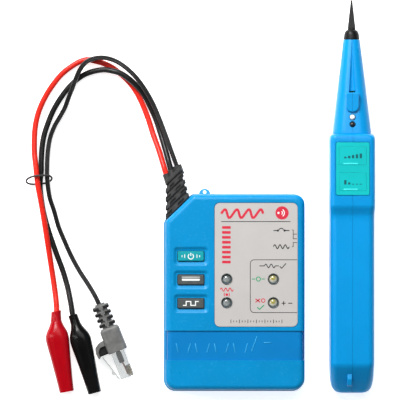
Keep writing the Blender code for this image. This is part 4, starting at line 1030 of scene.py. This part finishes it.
def boot_point(y, turn, girth, neck_shift, inset, pinch):
    """A point on the boot, from its turn about the boot's axis, 0 at +X and a quarter turn on top."""
    wide, high = boot_size(y)
    wide, high = wide * girth - inset, high - inset
    c, s = math.cos(turn), math.sin(turn)
    power = 2.0 + min(1.0, max(0.0, (16.0 - y) / 14.0))
    reach = (abs(c) ** power + abs(s) ** power) ** (-1 / power)
    x, z = wide * c * reach, high * s * reach
    dip = pinch * min(1.0, max(0.0, (-4.0 - y) / 16.0)) * math.exp(-((x / 1.3) ** 2))
    z -= math.copysign(dip, z) if abs(s) > 0.3 else 0.0
    shift = neck_shift * (max(0.0, y - 6.5) / 14.3) ** 1.5
    return Vector((x + shift, y, z))


def boot_sheet(name, rows_of_turns, girth, neck_shift, inset, pinch, wall, closed_from=None):
    """An open or closed sleeve from rows of (distance, turns), made thick inwards."""
    bm = bmesh.new()
    rows = []
    for y, turns in rows_of_turns:
        rows.append([bm.verts.new(boot_point(y, turn, girth, neck_shift, inset, pinch)) for turn in turns])
    for (y, _), row, following in zip(rows_of_turns, rows, rows[1:]):
        for k in range(len(row) - 1):
            bm.faces.new((row[k], following[k], following[k + 1], row[k + 1]))
    if closed_from is not None:
        bmesh.ops.remove_doubles(bm, verts=bm.verts, dist=0.0005)
    bmesh.ops.recalc_face_normals(bm, faces=bm.faces)
    out = sum((f.normal.dot(Vector((f.calc_center_median().x, 0,
                                    f.calc_center_median().z))) for f in bm.faces))
    if out < 0:
        bmesh.ops.reverse_faces(bm, faces=bm.faces)
    bmesh.ops.scale(bm, vec=(MM, MM, MM), verts=bm.verts)
    mesh = bpy.data.meshes.new(name)
    bm.to_mesh(mesh)
    bm.free()
    obj = linked(name, mesh)
    thick = obj.modifiers.new("Wall", "SOLIDIFY")
    thick.thickness = wall * MM
    thick.offset = -1.0
    return applied(obj)


def seam_turn(y, x, girth):
    """The turn at which the boot's surface crosses a distance x from its middle plane."""
    wide = boot_size(y)[0]
    return math.acos(max(-0.98, min(0.98, x / (wide * girth))))


def clip(name, hinge, tilt, neck_shift, girth, look, gap):
    place = Matrix.Translation(Vector((*hinge, CLIP_Z)) * MM) @ Matrix.Rotation(math.radians(tilt), 4, "Z")
    pinch = 0.9 if name == "black_clip" else 0.15
    open_slope = math.tan(math.radians(16.0))
    steps = 40
    fixed, moving = [], []
    y = 21.4
    while y > -24.21:
        seam = seam_turn(y, -gap - max(0.0, y) * open_slope, girth)
        close = min(1.0, max(0.0, (y - LAP_FROM) / LAP_RUN))
        start = seam + (math.pi - seam) * close * close * (3 - 2 * close)
        fixed.append((y, [start - start * k / steps for k in range(2 * steps + 1)]))
        if y < LAP_FROM + LAP_RUN - 0.4:
            lap = 0.28 * min(1.0, max(0.0, y + 1.0) / 3.0)
            reach = math.pi - (start if y > 0 else seam_turn(y, -gap, girth)) + lap
            moving.append((y, [math.pi - reach + 2 * reach * k / steps for k in range(steps + 1)]))
        y -= 0.6
    boot = boot_sheet(f"{name}_boot_sleeve", fixed, girth, neck_shift, 0.0, pinch, 0.9)
    boot.data.transform(place)
    finished(boot, "toner", look, [f"{name}_boot_fixed"], angle=50, weighted=False)
    flap = boot_sheet(f"{name}_boot_flap", moving, girth, neck_shift, 0.06, pinch, 0.9)
    flap.data.transform(place)
    finished(flap, None, look, [f"{name}_boot_moving"], angle=50, weighted=False)
    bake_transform(flap)
    return [boot, flap]


# Modular plug: made about the junction of its boot and its clear body, nose towards -Y

PLUG_RIBS, RIB_PITCH = 4, 3.2
WIRES, WIRE_PITCH, FIRST_WIRE = 8, 1.02, -3.57
PLUG_PLACE = Matrix.Translation(Vector((-84.5, -87.3, 6.6)) * MM) @ Matrix.Rotation(math.radians(21.65), 4,
    "Z")


def plug_ring(y, wide, deep, corner=1.4):
    """A rounded rectangle across the plug's boot."""
    outline = box_outline((-wide, wide), (-deep, deep), corner, 5)
    return [(x, y, z) for x, z in outline]


def modular_plug():
    """The plug lying on its side; returns all its pieces."""
    made = []

    def placed(obj, body, look, replaces=(), **shading):
        obj.data.transform(PLUG_PLACE)
        made.append(finished(obj, body, look, replaces, **shading))

    rings = []
    for i in range(PLUG_RIBS):
        top = (27.3 if i else 27.9) - RIB_PITCH * i
        low = 25.3 - RIB_PITCH * i
        rings += [plug_ring(top, 4.2, 4.3, 1.2), plug_ring(top - 0.35, 4.65, 4.7),
                  plug_ring(low + 0.35, 4.75, 4.75),
                  plug_ring(low, 4.3, 4.35, 1.2)]
        rings += [plug_ring(low - 0.05, 3.2, 3.8, 1.0), plug_ring(low - 1.15, 3.2, 3.8, 1.0)]
    rings += [plug_ring(14.5, 4.7, 5.3), plug_ring(14.1, 5.0, 5.6), plug_ring(13.6, 5.35, 5.95),
              plug_ring(13.0, 5.5, 6.1),
              plug_ring(0.8, 5.5, 6.2), plug_ring(0.3, 5.3, 6.0)]
    boot = loft("plug_boot_body", rings)
    ear = plate("ear", rounded([
        (-5.0, 5.6, 0), (-8.6, 5.6, 1.5), (-10.3, 3.6, 1), (-10.6, 0.0, 0), (-11.7, 0.0, 0.4),
        (-12.0, 3.4, 1),
        (-11.2, 6.6, 2), (-8.2, 8.5, 2), (-5.0, 8.8, 0)], 8), -3.8, 3.8)
    join(boot, bevelled(ear, 0.35, 3))
    cut(boot, block("front_line", (-0.25, 1.2, 5.95), (0.25, 12.9, 7.0)),
        block("back_line", (-0.25, 1.2, -7.0), (0.25, 12.9, -5.95)))
    bool_with(boot, [rod("cable_entry", (0, 25.5, 0), (0, 28.8, 0), 2.8)], "UNION", "MANIFOLD")
    placed(boot, "toner", "plug_boot_grey", ["plug_boot"], angle=40)
    web = plate("plug_ear_web", rounded([(-5.4, 0.8, 0.3), (-5.4, 5.9, 0), (-9.0, 5.9, 1.2), (-10.8, 3.2, 1),
                                         (-10.9, 0.8, 0.3)], 4),
                -2.6, 2.6)
    placed(bevelled(web, 0.5, 3), "toner", "plug_boot_black", angle=40)
    spines = []
    for side in (-1, 1):
        spine = block("spine", (-0.65, 14.4, 3.2), (0.65, 27.4, 4.95), 0.35, 3)
        if side < 0:
            spine.data.transform(Matrix.Rotation(math.pi, 4, "Y"))
        spines.append(spine)
    placed(merged("plug_boot_spine", spines), "toner", "plug_boot_grey", angle=40)
    bands = []
    for i in range(PLUG_RIBS):
        low = 25.3 - RIB_PITCH * i
        for x in (-2.9, 2.9):
            bands.append(block("rib_face", (x - 1.75, low + 0.3, 4.3), (x + 1.75, low + 1.75, 4.86), 0.25, 3))
    placed(merged("plug_boot_ribs", bands), "toner", "plug_boot_black", angle=40)
    body = block("plug_shell", (-4.2, -15.2, -5.85), (3.4, 0.25, 5.85), 0.45, 4)
    cut(body, block("contact_recess", (2.1, -17.0, -4.9), (5.0, -8.5, 4.9)))
    for i in range(WIRES):
        z = FIRST_WIRE + WIRE_PITCH * i
        cut(body, block("blade_slot", (0.6, -14.6, z - 0.3), (2.3, -8.8, z + 0.3)))
    placed(body, "toner", "clear_plastic", ["plug_body"], angle=30)
    inner = block("plug_cable_end", (-1.6, -6.6, -3.6), (1.4, -0.2, 3.6), 0.8, 4)
    placed(inner, "toner", "black_vinyl", angle=40)
    for k, look in enumerate(("wire_orange", "wire_white", "wire_blue", "wire_brown")):
        wires = []
        for j in (0, 1):
            z = FIRST_WIRE + WIRE_PITCH * (k + 4 * j)
            points = [Vector((0.1, -6.4, z * 0.85)), Vector((0.3, -8.2, z)), Vector((0.5, -10.5, z)),
                      Vector((0.5, -13.6, z))]
            wires.append(applied(tube("wire", smooth_route(points, 0.6)[0], 0.42, sides=3)))
        placed(merged(f"plug_{look}", wires), "toner", look, angle=60)
    contacts = [block("blade", (1.0, -14.2, z - 0.2), (3.15, -9.2, z + 0.2), 0.08,
                      2) for z in (FIRST_WIRE + WIRE_PITCH * i for i in range(WIRES))]
    placed(merged("plug_blades", contacts), "toner", "gold", ["plug_contacts"])
    latch = plate("plug_latch_arm", [(-0.45, 0.0), (0.45, -0.2), (-1.2, 6.0), (-3.85, 15.0), (-4.75, 15.0),
                                     (-2.1, 6.0)], -3.1, 3.1)
    step = plate("latch_step", [(-0.9, 3.3), (-1.7, 6.2), (-3.0, 5.2), (-2.8, 3.3)], -1.6, 1.6)
    join(latch, step)
    latch = bevelled(latch, 0.2, 2)
    latch.data.transform(Matrix.Translation(Vector((-5.0, -14.8, 0.0)) * MM))
    placed(latch, "latch", "clear_plastic", ["plug_latch"], angle=30)
    return made


# Probe

PROBE_X, PROBE_MID_Z = 46.35, 16.5
CONE_START, CONE_END = 87.5, 34.9
CONE_HALF, CONE_WIDEN, CONE_DEEPEN = 4.65, 0.1156, 0.185
SEAM = 0.045  # each half stops this far from the middle
# Distance along the probe, half width, lowest and highest point, corner radius.
BODY_STATIONS = (
    (34.4, 11.45, 0.9, 32.1, 4.6), (34.0, 11.85, 0.6, 32.4, 4.2), (33.4, 12.2, 0.3, 32.7, 3.6),
    (32.4, 12.42, 0.1, 32.92, 3.0),
    (31.0, 12.5, 0.0, 33.0, 2.8), (-4.6, 12.5, 0.0, 33.0, 2.8), (-5.8, 12.5, 0.0, 32.85, 2.9),
    (-7.2, 12.45, 0.0, 32.2, 3.0),
    (-9.6, 12.3, 0.0, 31.0, 3.3), (-11.2, 12.25, 0.0, 30.6, 3.5), (-13.4, 12.2, 0.0, 30.5, 3.6),
    (-92.6, 12.2, 0.0, 30.5, 3.6),
    (-94.2, 12.15, 0.0, 30.2, 3.7), (-96.0, 12.1, 0.0, 29.3, 3.8), (-98.0, 12.05, 0.0, 27.8, 3.9),
    (-102.0, 11.9, 0.0, 25.2, 4.0), (-105.0, 11.5, 0.0, 22.6, 4.0), (-107.2, 10.8, 0.1, 20.8, 3.6),
    (-108.6, 9.8, 0.4, 19.6, 3.2), (-109.5, 8.6, 0.9, 18.7, 2.9), (-110.0, 7.0, 1.7, 17.8, 2.4),
)
KEYPAD_X, KEYPAD_Y = (37.05, 55.65), (0.6, 29.9)
KEYS = {"high": 22.4, "low": 8.1}
KEY_SIZE = (14.6, 9.6)
HOOD_Y = (46.8, 57.7)
PROBE_SCREWS = ((66.0, 16.5), (36.0, 9.0), (-26.0, 13.0))
KEY_GAP = 0.3
SOUND_SLOTS, SOUND_START, SOUND_STEP = 5, 4.0, 3.0


def across(x):
    return PROBE_X + x


def cone_top(y):
    return PROBE_MID_Z + CONE_HALF + (CONE_START - y) * CONE_DEEPEN


def probe_edge(y):
    """Half the probe's width at a place along it."""
    if y > CONE_END:
        return CONE_HALF + (CONE_START - y) * CONE_WIDEN
    return 12.5 if y > -6 else 12.2


def probe_ring(y, half_width, z_low, z_high, corner, steps=9):
    corner = min(corner, half_width - 0.02, (z_high - z_low) / 2 - 0.02)
    outline = box_outline((across(-half_width), across(half_width)), (z_low, z_high), corner, steps)
    return [(x, y, z) for x, z in outline]


def probe_stations(inset=0.0):
    stations = []
    for y in (CONE_START, 80.0, 74.0, 67.0, 60.0, 53.0, 47.0, 41.0, CONE_END + 0.3):
        run = CONE_START - y
        wide, deep = CONE_HALF + run * CONE_WIDEN, CONE_HALF + run * CONE_DEEPEN
        stations.append((y, wide, PROBE_MID_Z - deep, PROBE_MID_Z + deep, 4.6 + run * 0.05))
    run = CONE_START - CONE_END
    wide, deep = CONE_HALF + run * CONE_WIDEN, CONE_HALF + run * CONE_DEEPEN
    stations.append((CONE_END, wide - 0.18, PROBE_MID_Z - deep + 0.18, PROBE_MID_Z + deep - 0.18, 7.0))
    stations += BODY_STATIONS
    return [(y, w - inset, low + inset, high - inset, max(0.8, r - inset)) for y, w, low, high, r in stations]


def probe_case():
    """Both halves of the case, cut from one hollow body, and the battery door."""
    whole = loft("whole", [probe_ring(*station) for station in probe_stations()])
    hood = plate("hood", rounded([
        (across(-3.65), HOOD_Y[1], 0.8), (across(-3.65), HOOD_Y[0], 3.3), (across(3.65), HOOD_Y[0], 3.3),
        (across(3.65), HOOD_Y[1], 0.8)], 10), 22.0, 30.2)
    join(whole, rim_rounded(hood, 1, 0.7, 5))
    inner = [station for station in probe_stations(1.9) if -106.5 < station[0] < 84.0]
    inner.append((-107.6, 8.6, 2.6, 17.6, 1.0))
    cut(whole, loft("inner", [probe_ring(*station) for station in inner]))
    for y, z in PROBE_SCREWS:
        reach = 5.6 if y > 60 else 10.6 if y < 30 else 8.9
        edge = probe_edge(y)
        join(whole, rod("post", (across(-reach), y, z), (across(reach), y, z), 2.8))
        cut(whole, rod("bore", (across(1.5 - edge), y, z), (across(20), y, z), 1.4),
            rod("head_bore", (across(edge - 1.5), y, z), (across(22), y, z), 2.75))
    cut(whole, rod("nose_bore", (PROBE_X, 78.0, PROBE_MID_Z), (PROBE_X, 90.0, PROBE_MID_Z), 2.9))
    far, near = (PROBE_X, 86.0, cone_top(86.0)), (PROBE_X, HOOD_Y[1] - 0.4, cone_top(HOOD_Y[1]) + 0.3)
    cut(whole, rod("light_groove", near, far, 1.95, 0.1))
    slope = Vector((0.0, 1.0, -CONE_DEEPEN)).normalized()
    back = Vector((PROBE_X, 49.6, cone_top(49.6) - 0.6))
    cut(whole, rod("lamp_bore", back, back + slope * 9.5, 1.9))
    for y in (43.9, 40.0):
        cut(whole, rod("lamp_hole", (PROBE_X, y, 22.5), (PROBE_X, y, 40.0), 1.75))
    recess = [(a - 0.3, b + 0.3) for a, b in (KEYPAD_X, KEYPAD_Y)]
    cut(whole, plate("recess", box_outline(*recess, 1.2), 32.3, 36.0))
    for y in KEYS.values():
        wide, deep = (side / 2 + KEY_GAP for side in KEY_SIZE)
        cut(whole, block("key_window", (across(-wide), y - deep, 29.0), (across(wide), y + deep, 36.0)))
    for i in range(SOUND_SLOTS):
        y = SOUND_START + SOUND_STEP * i
        cut(whole, block("sound_slot", (across(-6.0), y - 0.6, -1.0), (across(6.0), y + 0.6, 2.6), 0.3, 2))
    cut(whole, block("door_opening", (across(-9.3), -112.0, -1.0), (across(9.3), -38.0, 2.1)))
    for name, low, high in (("left", -30.0, -SEAM), ("right", SEAM, 30.0)):
        half = block(f"probe_shell_{name}", (across(low), -115.0, -3.0), (across(high), 92.0, 38.0))
        copy = linked("copy", whole.data.copy())
        bool_with(half, [copy], "INTERSECT")
        if name == "left":
            lug = plate("lug", rounded([(17.5, -105.9, 0.3), (17.5, -98.6, 0.3), (27.0, -98.6, 1.2),
                                        (27.6, -102.0, 1.6),
                                        (26.2, -105.9, 1.8)], 6), 0.0, 2.6)
            lug.data.transform(Matrix.Translation(Vector((across(-2.75), 0, 0)) * MM) @ Matrix(
                ((0, 0, 1, 0), (0, 1, 0, 0), (1, 0, 0, 0), (0, 0, 0, 1))))
            lug.data.flip_normals()
            lug = bevelled(lug, 0.7, 5)
            cut(lug, rod("lug_hole", (across(-4.0), -103.2, 25.0), (across(1.0), -103.2, 25.0), 1.3,
                         sides=24))
            bool_with(half, [lug], "UNION", "MANIFOLD")
        finished(half, "probe", "probe_blue", [f"probe_case_{name}"])
    bpy.data.objects.remove(whole, do_unlink=True)
    door = block("probe_door_panel", (across(-9.0), -109.0, 0.3), (across(9.0), -38.3, 1.7), 0.3, 3)
    ridges = []
    for i in range(6):
        y = -46.0 - 1.8 * i
        ridge = rib(f"ridge_{i}", (across(-5.0), y), (across(5.0), y), 0.0, 0.4, 0.25)
        ridge.data.transform(Matrix.Translation((0, 0, 0.32 * MM)) @ Matrix.Diagonal((1, 1, -1, 1)))
        ridge.data.flip_normals()
        ridges.append(ridge)
    finished(merged("probe_door_with_grip", [door, *ridges]), "probe_door", "probe_blue",
             ["probe_battery_door"])


def probe_front_end():
    lay = Matrix.Translation((PROBE_X, 0, PROBE_MID_Z)) @ Matrix.Rotation(-math.pi / 2, 4, "X")
    profile = [(0.0, 110.0), (0.22, 109.85), (0.42, 109.4), (0.55, 108.6), (2.3, 93.6), (2.3, 92.6),
               (1.5, 92.4), (1.5, 83.2),
               (0.0, 83.0)]
    tip = turned("probe_antenna_tip", profile, 48, lay)
    facet = block("facet", (-4.0, -20.0, 0.0), (4.0, 20.0, 6.0))
    facet.data.transform(Matrix.Translation(Vector((PROBE_X, 102.0,
                                                    PROBE_MID_Z + 0.78)) * MM) @ Matrix.Rotation(-0.1, 4,
                                                        "X"))
    shield = block("shield", (PROBE_X - 8, 60.0, 8.0), (PROBE_X + 8, 94.4, 28.0))
    cut(facet, shield)
    cut(tip, facet)
    finished(tip, "probe", "tip_black", ["probe_tip"], angle=28)
    profile = [(2.4, 92.9), (2.7, 93.0), (3.0, 92.9), (3.5, 92.3), (3.95, 91.4), (4.2, 90.4), (4.5, 88.1),
               (4.5, 87.9), (4.3, 87.75),
               (2.6, 87.7), (2.6, 85.4), (2.3, 85.4)]
    finished(turned("probe_tip_collar", profile, 56, lay), "probe", "black_plastic", ["probe_collar"],
             angle=40)


def probe_controls():
    overlay = plate("probe_membrane", box_outline(KEYPAD_X, KEYPAD_Y, 1.0), 32.6, 33.1)
    overlay = rim_rounded(overlay, 1, 0.15, 3)
    for y in KEYS.values():
        wide, deep = (side / 2 + KEY_GAP for side in KEY_SIZE)
        cut(overlay, plate("window", box_outline((across(-wide), across(wide)), (y - deep, y + deep), 0.8),
                           30.0, 36.0))
    finished(overlay, "probe", "overlay_turquoise", ["probe_keypad_overlay"])
    for name, y in KEYS.items():
        wide, deep = (side / 2 + 0.24 for side in KEY_SIZE)
        key = plate(f"probe_key_cap_{name}", box_outline((across(-wide), across(wide)), (y - deep, y + deep),
                                                         0.75), 24.5, 33.12)
        finished(rim_rounded(key, 1, 0.1, 2), f"{name}_key", "overlay_turquoise", [f"probe_key_{name}"])
        # The ridge along each key's lower edge wears a painted highlight.
        edge = rib(f"probe_key_edge_{name}", (across(-5.4), y - 4.3), (across(3.0), y - 4.3), 33.1, 0.38,
                   0.16)
        finished(edge, f"{name}_key", "overlay_painted_highlight", angle=60)
        bm = bmesh.new()
        for i in range(5):
            x = across(-4.8 + 2.15 * i)
            high = 0.9 + 0.45 * i if name == "high" else (1.5 - 0.3 * i if i < 2 else 0.42)
            bottom = y - (1.35 if name == "high" else 1.6)
            patch(bm, box_outline((x, x + 1.3), (bottom, bottom + high), 0.15, 2), 33.118)
        if name == "low":
            patch(bm, box_outline((across(-4.8), across(-3.5)), (y - 1.6, y + 0.9), 0.15, 2), 33.119)
        finished(solid(f"probe_key_mark_{name}", bm), f"{name}_key", "print_teal", weighted=False)
    lean = math.atan(CONE_DEEPEN)
    dome = [(1.5 * math.sin(a), 1.5 * (math.cos(a) - 1)) for a in (math.radians(10 * k) for k in range(10))]
    for name, y, height, look in (("power", 43.9, 6.3, "led_white"), ("signal", 40.0, 7.0, "led_dark")):
        profile = [(r, height + z) for r, z in dome] + [(1.5, 1.0), (1.7, 0.9), (1.7, 0.0), (0.0, 0.0)]
        lamp = turned(f"probe_{name}_lamp", profile, 36, Matrix.Translation((PROBE_X, y, 23.9)))
        finished(lamp, "probe", look, [f"probe_{name}_led"])
    profile = [(r, 6.4 + z) for r, z in dome] + [(1.5, 1.0), (1.8, 0.9), (1.8, 0.0), (0.0, 0.0)]
    place = Matrix.Translation((PROBE_X, 50.2, cone_top(50.2) - 0.6)) @ Matrix.Rotation(-math.pi / 2 - lean,
        4, "X")
    finished(turned("probe_work_lamp", profile, 36, place), "probe", "led_clear", ["probe_lamp_led"])


def main():
    finishes()
    camera()
    surroundings()
    made = leads()
    tie = cable_tie()
    toner_front()
    toner_back()
    label_prints()
    toner_buttons()
    toner_lamps()
    strain_relief()
    sleeves = {values[0]: clip(*values) for values in CLIPS}
    plug = modular_plug()
    probe_case()
    probe_front_end()
    probe_controls()
    dressed("label", "toner_label_plate", edge=0.12)
    dressed("black_plastic", "mode_switch_slider", "toner_battery_snap", "probe_battery_snap",
            "probe_speaker")
    dressed("keypad_rubber", "toner_keypad_mat")
    dressed("steel", "mode_switch_body", *[f"toner_screw_{i}" for i in range(1, 5)],
            *[f"probe_screw_{i}" for i in range(1, 4)],
            *[f"{c}_clip_{p}" for c in ("red", "black") for p in ("jaw_fixed", "jaw_moving", "rivet",
                                                                  "spring")])
    dressed("battery_jacket", "toner_battery", "probe_battery")
    dressed("circuit_board", "toner_circuit_board", "probe_circuit_board")


main()
